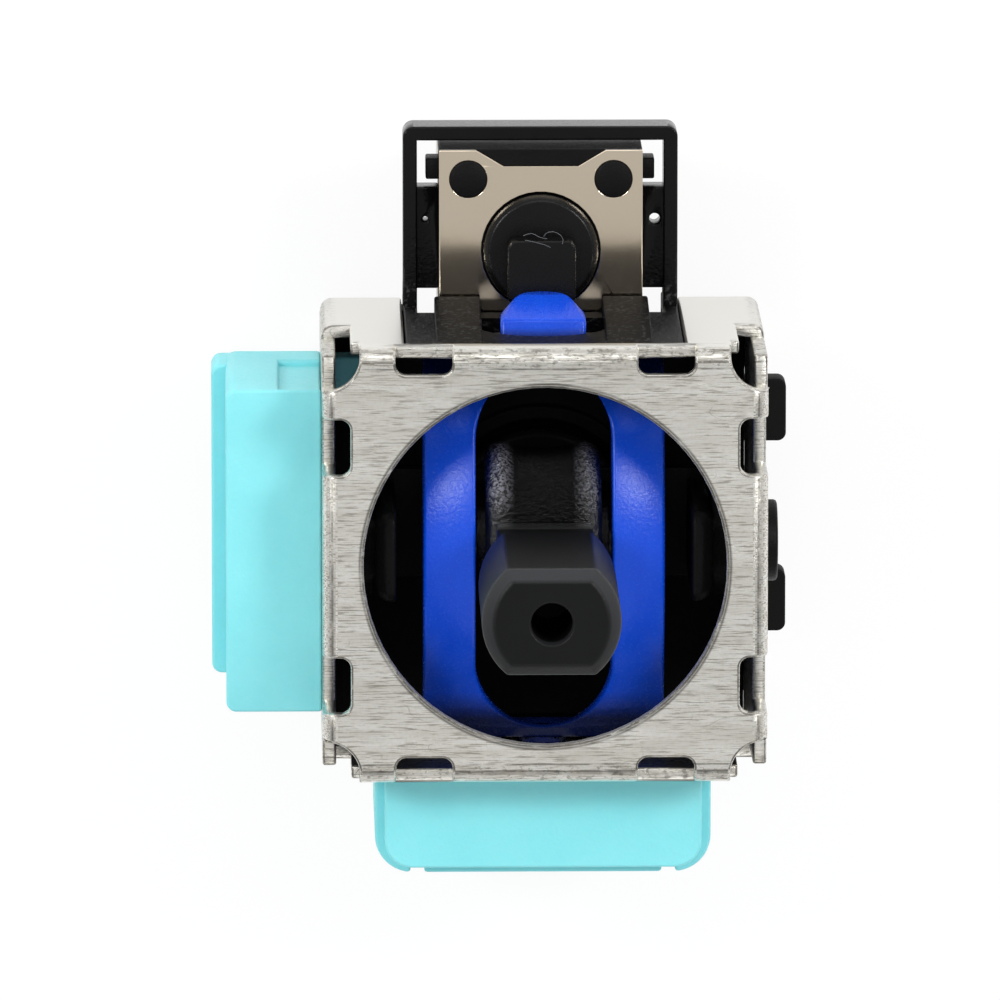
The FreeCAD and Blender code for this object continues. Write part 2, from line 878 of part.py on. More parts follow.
def pot_housing(name, turn, half, reach, corner, terrace):
    """A housing open toward the cover. One has a low terrace, the other a lip round its lid."""
    body = new_body(name)
    start = -POT_START
    if terrace:
        pad(body, "XY_Plane", [pot_plan(half, reach, corner)], S.pot_low, S.pot_top)
        side = HALF - S.terrace_side
        low = pot_plan(side, reach + S.terrace_out, corner)
        pad(body, "XY_Plane", [low], 0, S.terrace_top)
        ends = [rectangle((half - S.pot_recess, start - S.pot_recess_long), (half, start))]
        ends.append(rectangle((-half, start - S.pot_recess_long), (S.pot_recess - half, start)))
        pocket(body, "XY_Plane", ends, S.terrace_top, S.pot_top - S.pot_recess_drop)
    else:
        ledge = S.pot_top - S.pot_lip_drop
        pad(body, "XY_Plane", [pot_plan(half, reach, corner)], S.pot_low, ledge)
        lid = pot_plan(half - S.pot_lip, reach - S.pot_lip, corner - S.pot_lip)
        pad(body, "XY_Plane", [lid], ledge, S.pot_top)
        grooves = []
        for side in SIDES:
            low = (half - S.groove_side) * side - S.groove_wide / 2
            grooves.append(rectangle((low, -reach), (low + S.groove_wide, S.groove_deep - reach)))
        pocket(body, "XY_Plane", grooves, S.pot_low, ledge)
    board = rectangle((-BOARD_HALF - S.slip, S.board_low), (BOARD_HALF + S.slip, S.board_top + S.slip))
    pocket(body, "XZ_Plane", [board], -BOARD_BACK, start)
    sensor_half = BOARD_HALF - S.sensor_side
    sensor = rectangle((-sensor_half, S.sensor_low), (sensor_half, S.sensor_top))
    pocket(body, "XZ_Plane", [sensor], S.sensor_wall - POT_REACH, -BOARD_BACK)
    pocket(body, "XZ_Plane", [((0, AXIS), BORE)], -(ROTOR_OUT + S.slip), start)
    notches = []
    for number in range(-1, 2):
        wide = S.pin_width / 2 + S.slip
        middle = S.pin_pitch * number
        pin_back = -(PIN_PLACE + S.pin_thick / 2 + S.slip)
        notches.append(rectangle((middle - wide, pin_back), (middle + wide, start)))
    pocket(body, "XY_Plane", notches, 0 if terrace else S.pot_low, S.board_low)
    place_pot(body, turn)


def pot_board(name, turn):
    """Flat phenolic board that closes the housing and carries the track."""
    body = new_body(name)
    start = -POT_START
    back = -BOARD_BACK
    board = rectangle((-BOARD_HALF, S.board_low), (BOARD_HALF, S.board_top))
    pad(body, "XZ_Plane", [board], back, start)
    pocket(body, "XZ_Plane", [((0, AXIS), BORE)], back, start)
    middle = -PIN_PLACE
    for number in range(-1, 2):
        x = S.pin_pitch * number
        wide = S.pin_width / 2
        thick = S.pin_thick / 2
        spots = rectangle((x - wide, middle - thick), (x + wide, middle + thick))
        pocket(body, "XY_Plane", [spots], S.board_low, S.pin_top)
    place_pot(body, turn)


def pot_terminals(name, turn):
    """Three pins set in the foot of the board."""
    pins = []
    for number in range(-1, 2):
        x = S.pin_pitch * number
        wide = S.pin_width / 2
        thick = S.pin_thick / 2
        low = (x - wide, -PIN_PLACE - thick, -S.leg_deep)
        high = (x + wide, -PIN_PLACE + thick, S.pin_top)
        pins.append(block("%s_pin_%d" % (name, number + 2), low, high))
    item = keep(fuse(name + "_set", pins), name)
    place_pot(item, turn)


def pot_rotor(name, turn):
    """Slotted rotor with a fan-shaped carrier hanging below it."""
    body = new_body(name)
    low = -ROTOR_OUT
    high = -ROTOR_IN
    pad(body, "XZ_Plane", [((0, AXIS), S.journal_radius)], low, high)
    fan = [
        (-S.fan_low_half, AXIS - S.fan_deep),
        (S.fan_low_half, AXIS - S.fan_deep),
        (S.fan_top_half, AXIS),
        (-S.fan_top_half, AXIS),
    ]
    fan_back = -(FAN_PLACE + S.fan_thick)
    pad(body, "XZ_Plane", [fan], fan_back, -FAN_PLACE)
    low_corner = (-S.slot_half_wide, AXIS - S.slot_half_high)
    high_corner = (S.slot_half_wide, AXIS + S.slot_half_high)
    slot = rectangle(low_corner, high_corner)
    pocket(body, "XZ_Plane", [slot], -(TONGUE_END + S.slip * 4), high)
    place_pot(body, turn)


def pot_wiper(name, turn):
    """Sprung contact strip bridging the fan and the board."""
    body = new_body(name)
    low = AXIS - S.fan_deep + S.slip
    spots = rectangle((-S.wiper_half, low), (S.wiper_half, low + S.wiper_high - S.slip * 2))
    front = -FAN_PLACE
    gap = FAN_PLACE - BOARD_BACK - S.slip
    pad(body, "XZ_Plane", [spots], front, front + S.wiper_thick)
    foot = rectangle((-S.wiper_half, low), (S.wiper_half, low + S.wiper_thick * 2))
    pad(body, "XZ_Plane", [foot], front, front + gap)
    place_pot(body, turn)


# Upper yoke: the blue arch that carries the lever and presses the switch


def tongue_spots():
    wide = S.slot_half_wide - S.tongue_slack
    high = S.slot_half_high - S.tongue_slack
    return rectangle((-wide, AXIS - high), (wide, AXIS + high))


def upper_yoke():
    body = new_body("upper_yoke")
    low = AXIS - S.yoke_skirt
    shoulder = AXIS + S.yoke_shoulder
    under = AXIS + S.yoke_rail_low
    inner_end = YOKE_END - S.yoke_foot
    arch = [
        (YOKE_END, low),
        (YOKE_END, shoulder, S.yoke_arc),
        (-YOKE_END, shoulder),
        (-YOKE_END, low),
        (-inner_end, low),
        (-inner_end, under),
        (-S.yoke_boss, under),
        (-S.yoke_boss, AXIS, S.yoke_boss),
        (S.yoke_boss, AXIS),
        (S.yoke_boss, under),
        (inner_end, under),
        (inner_end, low),
    ]
    pad(body, "YZ_Plane", [arch], -YOKE_HALF, YOKE_HALF)
    flat = YOKE_SLOT_END - S.yoke_slot_half
    slot = [
        (S.yoke_slot_half, -flat),
        (S.yoke_slot_half, flat, S.yoke_slot_half),
        (-S.yoke_slot_half, flat),
        (-S.yoke_slot_half, -flat, S.yoke_slot_half),
    ]
    pocket(body, "XY_Plane", [slot], AXIS - S.yoke_boss * 2, AXIS + S.yoke_arc)
    pocket(body, "YZ_Plane", [((0, AXIS), S.pivot_radius + S.slip)], -YOKE_HALF, YOKE_HALF)
    boss_end = ROTOR_IN - S.slip * 2
    pad(body, "XZ_Plane", [((0, AXIS), S.neck_boss / 2)], -boss_end, -YOKE_END)
    pad(body, "XZ_Plane", [tongue_spots()], -TONGUE_END, -boss_end)
    rocker(body)
    yoke_nose(body)


def rocker(body):
    """The crowned part of the tongue, round about X, on which the yoke rocks in the rotor's slot."""
    wide = S.slot_half_wide - S.tongue_slack
    crown = ((-(HALF + S.rocker_out), AXIS), S.slot_half_high - S.rocker_slack)
    pad(body, "YZ_Plane", [crown], -wide, wide)


def yoke_nose(body):
    """The nose that passes through the bridge and lies over the plunger's post."""
    flare = AXIS + S.nose_flare
    top = AXIS + S.nose_top
    section = [
        (-S.nose_belly, AXIS, S.nose_belly),
        (S.nose_belly, AXIS),
        (S.nose_half, flare),
        (S.nose_half, top),
        (-S.nose_half, top),
        (-S.nose_half, flare),
    ]
    pad(body, "XZ_Plane", [section], YOKE_END, NOSE_END)
    slope = [
        (NOSE_BEND, top),
        (NOSE_END, AXIS + S.nose_tip_top),
        (NOSE_END, top),
    ]
    pocket(body, "YZ_Plane", [slope], -S.nose_half, S.nose_half)
    for side in SIDES:
        wedge = [(S.nose_half, NOSE_BEND), (S.nose_half, NOSE_END), (S.nose_tip_half, NOSE_END)]
        wedge = mirrored(wedge, side, 1)
        pocket(body, "XY_Plane", [wedge], AXIS - S.nose_belly, top)


# Lower yoke: the black cradle whose slot the lever's stem works in


def lower_yoke():
    body = new_body("lower_yoke")
    low = WEB_LOW
    web = WEB_TOP
    top = AXIS + S.cradle_top
    cradle = [
        (-CRADLE_OUTER, low),
        (CRADLE_OUTER, low),
        (CRADLE_OUTER, top),
        (CRADLE_INNER, top),
        (CRADLE_INNER, web),
        (-CRADLE_INNER, web),
        (-CRADLE_INNER, top),
        (-CRADLE_OUTER, top),
    ]
    pad(body, "XZ_Plane", [cradle], -S.cradle_half, S.cradle_half)

    def arm_edge(box):
        return near(abs(box.XMin), CRADLE_OUTER) and near(box.XLength, 0) and near(box.YLength, 0)

    def arm_rim(box):
        return near(box.ZMin, top) and near(box.ZMax, top) and not near(abs(box.XMin), CRADLE_INNER)

    soften(body, "Fillet", S.cradle_corner, arm_edge)
    soften(body, "Chamfer", S.cradle_slope, arm_rim)
    pad(body, "XY_Plane", [centred(CRADLE_OUTER, S.web_half)], low, web)
    flat = CRADLE_INNER - S.web_slot_inset - S.web_slot_half
    slot = [
        (flat, -S.web_slot_half, S.web_slot_half),
        (flat, S.web_slot_half),
        (-flat, S.web_slot_half, S.web_slot_half),
        (-flat, -S.web_slot_half),
    ]
    pocket(body, "XY_Plane", [slot], low, web)
    boss_end = ROTOR_IN - S.slip * 2
    pad(body, "YZ_Plane", [((0, AXIS), S.cradle_boss)], -boss_end, -CRADLE_OUTER)
    pad(body, "YZ_Plane", [((0, AXIS), S.cradle_boss)], CRADLE_OUTER, boss_end)
    pad(body, "YZ_Plane", [((0, AXIS), S.journal_radius)], boss_end, HALF + S.stub_out)
    pad(body, "YZ_Plane", [tongue_spots()], -TONGUE_END, -boss_end)


# Lever: hub, neck and double-D shaft in one moulding, on a steel pin

# Share of a round corner's radius that is cut off halfway round it
EIGHTH = 0.293
# Share of the waist's depth that is reached at its shoulders
HOLLOW = 0.69


def lever():
    body = new_body("lever")
    half = S.hub_half
    corner = S.hub_round
    crown = AXIS + S.hub_radius
    shoulder = (S.hub_shoulder, crown - S.hub_waist * HOLLOW)
    right = [
        (half, AXIS),
        (half, crown - corner),
        (half - corner * EIGHTH, crown - corner * EIGHTH),
        (half - corner, crown),
        shoulder,
    ]
    left = mirrored(right[::-1], -1, 1)
    spin(body, "XZ_Plane", right + [(0, crown - S.hub_waist)] + left, (0, AXIS), (1, AXIS))
    cut_low = AXIS - S.hub_radius
    spots = rectangle((-S.hub_radius, cut_low), (S.hub_radius, AXIS - S.hub_cut))
    pocket(body, "YZ_Plane", [spots], -S.hub_half, S.hub_half)
    pad(body, "XY_Plane", [centred(S.neck_half_x, S.neck_half_y)], AXIS, AXIS + S.shaft_start)
    start = AXIS + S.shaft_start
    end = AXIS + S.shaft_end
    pad(body, "XY_Plane", [((0, 0), S.shaft_radius)], start, end)
    sides = []
    for side in SIDES:
        low, high = (S.flat_half, S.shaft_radius) if side == 1 else (-S.shaft_radius, -S.flat_half)
        sides.append(rectangle((-S.shaft_radius, low), (S.shaft_radius, high)))
    pocket(body, "XY_Plane", sides, start, end)

    def tip_edge(box):
        return near(box.ZMin, end) and near(box.ZMax, end)

    soften(body, "Chamfer", S.tip_bevel, tip_edge)
    pocket(body, "XY_Plane", [((0, 0), S.core_radius)], end - S.core_deep, end)
    pad(body, "XY_Plane", [((0, 0), S.stem_radius)], FOOT, AXIS - S.pivot_radius * 2)
    boss_half = S.yoke_slot_half - S.slip
    pad(body, "YZ_Plane", [((0, AXIS), S.hub_boss)], -boss_half, boss_half)
    pocket(body, "YZ_Plane", [((0, AXIS), S.pivot_radius)], -boss_half, boss_half)


def lever_pin():
    half = YOKE_HALF - S.pivot_inset
    keep(rod("lever_pin_rod", S.pivot_radius, "x", (0, AXIS), -half, half), "lever_pin")


# Return spring and the seat it lifts

# Height of a hexagon's upper corners over its middle, for a corner radius of 1
HEXAGON = 0.866


def spring_seat():
    body = new_body("spring_seat")
    low = S.seat_top - S.seat_thick
    pad(body, "XY_Plane", [((0, 0), S.seat_radius)], low, S.seat_top)

    def rim(box):
        return near(box.ZMin, S.seat_top) and near(box.ZMax, S.seat_top)

    soften(body, "Chamfer", S.slip * 3, rim)


def return_spring():
    """Open coil between the well's floor and the underside of the seat."""
    body = new_body("return_spring")
    low = S.floor_web + S.wire_radius
    high = S.seat_top - S.seat_thick - S.wire_radius
    wire = S.wire_radius
    slant = wire / 2
    rise = wire * HEXAGON
    middle = S.coil_radius
    section = [
        (middle - wire, low),
        (middle - slant, low - rise),
        (middle + slant, low - rise),
        (middle + wire, low),
        (middle + slant, low + rise),
        (middle - slant, low + rise),
    ]
    sketch = new_sketch(body, "XZ_Plane", 0, [section])
    coil = body.newObject("PartDesign::AdditiveHelix", "return_spring_coil")
    coil.Profile = sketch
    coil.ReferenceAxis = (sketch, ["V_Axis"])
    coil.Mode = "height-turns-angle"
    coil.Height = (high - low).value
    coil.Turns = S.coil_turns.value
    bind(coil, "Height", high - low)
    bind(coil, "Turns", S.coil_turns)
    body.Tip = coil
    DOC.recompute()


def build_all():
    metal_cover()
    base()
    switch_body()
    switch_plate()
    switch_terminals()
    switch_dome()
    switch_plunger()
    pot_housing("pot_y_housing", 0, POT_WIDE_HALF, (POT_REACH + S.pot_bulge), S.pot_wide_round, False)
    pot_housing("pot_x_housing", -90, POT_HALF, POT_REACH, S.pot_round, True)
    for letter, turn in (("y", 0), ("x", -90)):
        pot_board("pot_%s_board" % letter, turn)
        pot_terminals("pot_%s_terminals" % letter, turn)
        pot_rotor("pot_%s_rotor" % letter, turn)
        pot_wiper("pot_%s_wiper" % letter, turn)
    upper_yoke()
    lower_yoke()
    lever()
    lever_pin()
    spring_seat()
    return_spring()


def check_all():
    DOC.recompute()
    for item in DOC.Objects:
        if "Invalid" in item.State or "Error" in item.State:
            raise ValueError("%s is in state %s" % (item.Name, item.State))
    for name, item in PARTS.items():
        shape = item.Shape
        if shape.isNull() or not shape.isValid() or shape.Volume <= 0:
            raise ValueError(name + " has no valid solid")


def write_all():
    os.makedirs("parts", exist_ok=True)
    for name, item in PARTS.items():
        item.Shape.exportStep("parts/%s.step" % name)
        box = item.Shape.BoundBox
        size = (box.XLength, box.YLength, box.ZLength, item.Shape.Volume, len(item.Shape.Solids))
        print("%-18s %7.3f %7.3f %7.3f  volume %8.3f  solids %d" % ((name,) + size))


build_all()
check_all()
write_all()
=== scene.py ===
import math

import bmesh
import bpy
from mathutils import Matrix, Vector


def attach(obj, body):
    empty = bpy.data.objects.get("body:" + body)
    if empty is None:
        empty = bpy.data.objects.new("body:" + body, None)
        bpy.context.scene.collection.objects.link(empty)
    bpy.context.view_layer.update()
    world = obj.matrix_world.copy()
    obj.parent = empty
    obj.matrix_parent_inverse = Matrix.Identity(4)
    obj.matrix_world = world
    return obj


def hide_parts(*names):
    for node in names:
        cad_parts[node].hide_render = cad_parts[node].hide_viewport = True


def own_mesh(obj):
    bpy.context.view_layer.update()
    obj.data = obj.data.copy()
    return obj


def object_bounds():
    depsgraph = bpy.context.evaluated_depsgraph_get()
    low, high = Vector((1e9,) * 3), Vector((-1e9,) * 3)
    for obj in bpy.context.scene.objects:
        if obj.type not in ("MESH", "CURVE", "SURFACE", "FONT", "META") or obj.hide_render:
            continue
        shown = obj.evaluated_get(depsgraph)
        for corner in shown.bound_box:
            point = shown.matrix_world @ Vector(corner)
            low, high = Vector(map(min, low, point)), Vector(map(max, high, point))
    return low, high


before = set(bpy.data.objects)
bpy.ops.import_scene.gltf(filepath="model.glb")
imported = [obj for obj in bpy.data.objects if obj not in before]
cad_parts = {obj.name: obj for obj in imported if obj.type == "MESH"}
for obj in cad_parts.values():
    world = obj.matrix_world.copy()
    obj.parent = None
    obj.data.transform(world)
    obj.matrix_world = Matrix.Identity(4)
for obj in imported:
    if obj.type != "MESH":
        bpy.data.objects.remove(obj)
CAD_BOX = [list(corner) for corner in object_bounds()]

bl_info = {
    "name": "Analog stick",
    "version": (1, 0, 0),
    "blender": (4, 5, 0),
    "location": "View3D > Sidebar > Analog stick",
    "description": "Dresses the two-axis thumb stick module and its studio",
    "category": "Object",
}

MM = 0.001

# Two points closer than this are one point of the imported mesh
MERGE = 0.0015 * MM
# Faces that meet at less than this are one flat face
FLAT = math.radians(0.8)
# Edges that turn more than this are corners of the part
CORNER = math.radians(32)
# Edges that turn more than this stay crisp in the shading
CRISP = math.radians(50)

# The plunger's rim is what lies beyond this share of its radius
RIM_SHARE = 0.8

# Lint fibres on the plunger's post, as points along X and Y in millimetres, their height and their radius
LINT = (
    ((-0.55, 8.97), (-0.43, 9.02), (-0.3, 9.04), (-0.2, 9.0), (-0.1, 8.94), (0.02, 8.9), (0.15, 8.88)),
    ((0.05, 8.95), (0.11, 9.03), (0.2, 9.08), (0.33, 9.09), (0.45, 9.05), (0.56, 8.97), (0.62, 8.86),
     (0.6, 8.72)),
    ((-0.5, 8.84), (-0.3, 8.8), (-0.1, 8.75), (0.08, 8.7), (0.25, 8.62)),
)
LINT_HEIGHT = 5.06
LINT_RADIUS = 0.009
LINT_SIDES = 6

# The side sensor's tab inside the cover's corner: its size and its middle in millimetres
TAB_SIZE = (1.1, 1.3, 1.0)
TAB_MIDDLE = (-5.75, 4.5, 3.3)


def linear(code):
    """An sRGB hex colour as linear red, green, blue and full opacity."""
    parts = [int(code[place:place + 2], 16) / 255 for place in (0, 2, 4)]
    spread = [part / 12.92 if part <= 0.04045 else ((part + 0.055) / 1.055) ** 2.4 for part in parts]
    return (*spread, 1.0)


# What a user may change


def length(name, text, millimetres):
    """A length of the part."""
    return bpy.props.FloatProperty(
        name=name, description=text, default=millimetres * MM, min=0.0, precision=5, subtype="DISTANCE",
        unit="LENGTH")


def colour(name, text, code):
    """A colour of the part."""
    return bpy.props.FloatVectorProperty(
        name=name, description=text, default=linear(code), min=0.0, max=1.0, size=4, subtype="COLOR")


def power(name, text, watts):
    """The power of a lamp."""
    return bpy.props.FloatProperty(name=name, description=text, default=watts, min=0.0, unit="POWER")


class CoverSettings(bpy.types.PropertyGroup):
    """Sizes and colours of the folded steel cover."""

    edge: length("Edge", "Rounding left on the sheared edges", 0.07)
    steel: colour("Steel", "Brushed plated steel", "F7F6F1")
    shade: colour("Shade", "Duller bands of the same steel", "DEDBD3")
    # Streak and shade: rolled-in dashes, also laid thinly over the bends as painted shade
    streak_and_shade: colour("Streak", "Dark rolled-in dashes", "858177")
    fleck: colour("Fleck", "Fine warm flecks in the plating", "C9C3A8")
    # Gall and shade: bruised metal in the bends, also laid as painted shade where faces tip over and round
    # the window's rim
    gall_and_shade: colour("Gall", "Bruised metal along the bends", "4C4843")
    rust: colour("Stain", "Thin brown stain near the front edge", "A08A70")


class BaseSettings(bpy.types.PropertyGroup):
    """Sizes and colours of the moulded base."""

    edge: length("Edge", "Rounding on the moulded edges", 0.06)
    plastic: colour("Plastic", "Black moulded base", "09090A")
    shade: colour("Shade", "Rubbed parts of the same plastic", "101011")
    fibre: colour("Fibre", "Pale glass fibres at the surface", "8E8E8C")
    # Painted shade: near-black laid on the plastic inside the cover
    inside: colour("Inside", "Shaded plastic inside the cover", "020202")


class SwitchSettings(bpy.types.PropertyGroup):
    """Sizes and colours of the push switch."""

    edge: length("Edge", "Rounding on the switch's edges", 0.05)
    plate_edge: length("Plate edge", "Rounding on the plate's sheared edges", 0.03)
    button_edge: length("Button edge", "Rounding on the plunger's rim", 0.16)
    plate: colour("Plate", "Steel plate over the switch", "E3D5C0")
    plate_shade: colour("Plate shade", "Rolled lines in the plate", "E2D3BD")
    plastic: colour("Plastic", "Black moulded switch body", "0A0A0B")
    plastic_shade: colour("Plastic shade", "Rubbed parts of the switch body", "121213")
    button: colour("Button", "Black moulded plunger", "0A0A0B")
    button_shade: colour("Button shade", "Rubbed parts of the plunger", "131314")
    dome: colour("Dome", "Spring steel snap dome", "B9B6AE")
    dome_shade: colour("Dome shade", "Rolled lines in the dome", "9D9A92")
    lint: colour("Lint", "Cotton lint on the plunger", "6E7073")
    lint_shade: colour("Lint shade", "Dusty parts of the lint", "4E5053")


class SensorSettings(bpy.types.PropertyGroup):
    """Sizes and colours of the two rotary sensors."""

    edge: length("Edge", "Rounding on the housings' edges", 0.09)
    rotor_edge: length("Rotor edge", "Rounding on the rotors' edges", 0.045)
    mint: colour("Mint", "Moulded housings", "84DCE3")
    shade: colour("Shade", "Deeper parts of the mint plastic", "6FD0D8")
    board: colour("Board", "Phenolic paper board", "5A3417")
    board_shade: colour("Board shade", "Paper fibres in the board", "7A4A24")
    white: colour("Rotor", "Natural acetal rotors", "E6E4DC")
    white_shade: colour("Rotor shade", "Yellowed parts of the rotors", "D6D3C8")
    brass: colour("Brass", "Bright brass wipers", "C9B27A")
    brass_shade: colour("Brass shade", "Paler lines in the brass", "E0D3A8")
    tin: colour("Tin", "Tin-plated terminals", "CFCCC2")
    tin_shade: colour("Tin shade", "Duller lines in the plating", "BDB9AD")


class YokeSettings(bpy.types.PropertyGroup):
    """Sizes and colours of the two yokes."""

    edge: length("Edge", "Rounding on the yokes' edges", 0.1)
    blue: colour("Blue", "Moulded blue upper yoke", "0845CC")
    scuff: colour("Scuff", "Paler rubbed blue", "1C5BE2")
    # Painted shade: dark colour laid on the upper yoke under the cover
    painted_shade: colour("Shadow", "Old grease under the cover", "050508")
    black: colour("Black", "Moulded black lower yoke", "090909")
    black_shade: colour("Black shade", "Rubbed parts of the lower yoke", "0E0E0F")


class LeverSettings(bpy.types.PropertyGroup):
    """Sizes and colours of the lever."""

    edge: length("Edge", "Rounding on the lever's edges", 0.07)
    plastic: colour("Plastic", "Glass-filled nylon", "090A0A")
    shade: colour("Shade", "Rubbed parts of the same plastic", "121313")
    # Painted shade: the hub, inside the cover, is laid darker than the shaft
    hub: colour("Hub", "Darker skin on the hub", "060606")
    # Wear and sheen: rubbed plastic, also painted pale as a sheen on the slope round the tip
    wear_and_sheen: colour("Worn", "Plastic rubbed by caps", "3C3D40")
    painted_highlight: colour("Glint", "Bright glints at the hub's ends", "82828C")
    pin: colour("Pin", "Blackened steel pin", "4A4A48")
    pin_shade: colour("Pin shade", "Drawn lines on the pin", "343433")


class SpringSettings(bpy.types.PropertyGroup):
    """Sizes and colours of the return spring and its seat."""

    edge: length("Edge", "Rounding on the seat's edges", 0.05)
    seat: colour("Seat", "Moulded black seat", "0B0B0C")
    seat_shade: colour("Seat shade", "Rubbed parts of the seat", "111112")
    wire: colour("Wire", "Drawn spring wire", "B4B2AC")
    wire_shade: colour("Wire shade", "Duller parts of the wire", "8F8D88")


class StudioSettings(bpy.types.PropertyGroup):
    """The floor, the lamps and the camera."""

    floor: colour("Floor", "Plain pale floor", "FFFFFF")
    distance: length("Camera distance", "From the camera to the cover's top", 400)
    front_power: power("Front lamp", "Power of the broad lamp in front of the part", 0.2)
    back_power: power("Back lamp", "Power of the lamp behind the part", 0.38)
    left_power: power("Left lamp", "Power of the small lamp at the left", 0.8)
    right_power: power("Right lamp", "Power of the small lamp at the right", 0.8)
    sky: bpy.props.FloatProperty(
        name="Sky", description="Strength of the even light from all round", default=0.61, min=0.0)


# Shapes


def settings(name):
    return getattr(bpy.context.scene, name)


def merged_copy(node):
    """A copy of a CAD node's mesh with its doubles merged and its flat faces joined."""
    shape = bmesh.new()
    shape.from_mesh(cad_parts[node].data)
    bmesh.ops.remove_doubles(shape, verts=shape.verts, dist=MERGE)
    bmesh.ops.dissolve_limit(shape, angle_limit=FLAT, verts=shape.verts, edges=shape.edges)
    return shape


def round_edges(shape, width, keep=None, segments=2):
    """Rounds the outward corners of a shape, all of them or those that keep() picks."""
    shape.normal_update()
    corners = []
    for edge in shape.edges:
        if edge.is_manifold and edge.is_convex and edge.calc_face_angle(0) > CORNER:
            if keep is None or keep(edge):
                corners.append(edge)
    bmesh.ops.bevel(
        shape, geom=corners, offset=width, affect="EDGES", segments=segments, profile=0.5, material=-1,
        clamp_overlap=False, loop_slide=True)


def finish_piece(shape, name, body, material, replaces=()):
    """Makes an object of a shape and gives it its body, material and shading."""
    shape.normal_update()
    for face in shape.faces:
        face.smooth = True
    for edge in shape.edges:
        edge.smooth = not (edge.is_manifold and edge.calc_face_angle(0) > CRISP)
    mesh = bpy.data.meshes.new(name)
    shape.to_mesh(mesh)
    shape.free()
    piece = bpy.data.objects.new(name, mesh)
    bpy.context.scene.collection.objects.link(piece)
    mesh.materials.append(material)
    weighted = piece.modifiers.new("Even shading", "WEIGHTED_NORMAL")
    weighted.keep_sharp = True
    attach(piece, body)
    if replaces:
        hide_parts(*replaces)
    return piece


def dress_copy(node, width, body, material):
    """Puts a rounded copy of a CAD node in the node's place."""
    shape = merged_copy(node)
    round_edges(shape, width)
    finish_piece(shape, node + "_dressed", body, material, [node])


def paint_node(node, material):
    """Gives a CAD node that stays in view its material."""
    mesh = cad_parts[node].data
    mesh.materials.clear()
    mesh.materials.append(material)


# Materials

# The Mix node's colour result is the third of its outputs
COLOUR = 2

# Blobs to the millimetre in the slow clouds of a moulding
BROAD = (0.45, 0.45, 0.45)
# Detail of a soft cloud, and the two levels where it starts and is full
SOFT = (4.0, 0.35, 0.7)
# The same for a fine grain
GRAIN = (3.0, 0.3, 0.7)
# Grains and wrinkles of filled plastic are about 0.1 mm apart
COARSE = (9.0, 9.0, 9.0)


def add_node(tree, kind, inputs=None, out=0, **values):
    """Adds a node and returns one of its outputs. An input is a value, or an output that feeds it."""
    node = tree.nodes.new("ShaderNode" + kind)
    for name, value in values.items():
        setattr(node, name, value)
    for key, value in (inputs or {}).items():
        if isinstance(value, bpy.types.NodeSocket):
            tree.links.new(value, node.inputs[key])
        else:
            node.inputs[key].default_value = value
    return node.outputs if out is None else node.outputs[out]


def new_material(name, shader_values):
    """A material with its shader, and its pattern's coordinates in millimetres."""
    material = bpy.data.materials.new(name)
    material.use_nodes = True
    tree = material.node_tree
    shader = tree.nodes["Principled BSDF"]
    for key, value in shader_values.items():
        shader.inputs[key].default_value = value
    metres = add_node(tree, "TexCoord", out="Object")
    place = add_node(tree, "VectorMath", {0: metres, 1: (1 / MM,) * 3}, operation="MULTIPLY")
    return material, tree, shader, place


def cloud(tree, place, stretch, detail, start, full):
    """Noise at a number of blobs to the millimetre along each axis, cut between two levels."""
    spread = add_node(tree, "VectorMath", {0: place, 1: stretch}, operation="MULTIPLY")
    level = add_node(tree, "TexNoise", {"Vector": spread, "Scale": 1.0, "Detail": detail, "Roughness": 0.62})
    return add_node(tree, "MapRange", {"Value": level, "From Min": start, "From Max": full})


def line_at(tree, value, middle, half):
    """1 where the value is at the middle, falling to 0 at half a line's width from it."""
    apart = add_node(tree, "Math", {0: value, 1: middle}, operation="SUBTRACT")
    apart = add_node(tree, "Math", {0: apart}, operation="ABSOLUTE")
    return add_node(tree, "MapRange", {"Value": apart, "From Min": half, "From Max": 0.0})


def band(tree, value, rise, fall):
    """1 between two slopes of a value. Each slope gives where it is 0 and where it is 1."""
    up = add_node(tree, "MapRange", {"Value": value, "From Min": rise[0], "From Max": rise[1]})
    down = add_node(tree, "MapRange", {"Value": value, "From Min": fall[0], "From Max": fall[1]})
    return add_node(tree, "Math", {0: down, 1: up}, operation="MULTIPLY")


def coat(tree, under, over, *masks, share=1.0):
    """One colour laid over another, as dense as its masks and its share multiplied."""
    dense = masks[0]
    for factor in (*masks[1:], share):
        dense = add_node(tree, "Math", {0: dense, 1: factor}, operation="MULTIPLY")
    return add_node(tree, "Mix", {0: dense, 6: under, 7: over}, out=COLOUR, data_type="RGBA")


# The steel's clouds: blobs to the millimetre, detail, and the levels where they start and are full
DASHES = ((1.1, 21.0, 1.0), 4.0, 0.49, 0.58)
DASH_PATCHES = ((0.6, 0.9, 1.0), 3.0, 0.28, 0.5)
DULL_BANDS = ((0.25, 2.4, 1.0), 3.0, 0.3, 0.7)
FLECKS = ((9.0, 9.0, 9.0), 4.0, 0.45, 0.7)
CRAZING = ((5.5, 7.5, 7.5), 6.0, 0.52, 0.62)
CREASE_RUNS = ((0.9, 0.2, 0.2), 4.0, 0.4, 0.52)
SHEARED_RUNS = ((1.3, 1.3, 1.3), 3.0, 0.25, 0.5)
RIM_RUNS = ((0.5, 0.5, 0.5), 2.0, 0.2, 0.45)
MOTTLE = ((0.7, 0.7, 0.7), 4.0, 0.45, 0.75)
SCRATCH_BLOBS = (0.35, 0.9, 0.6)

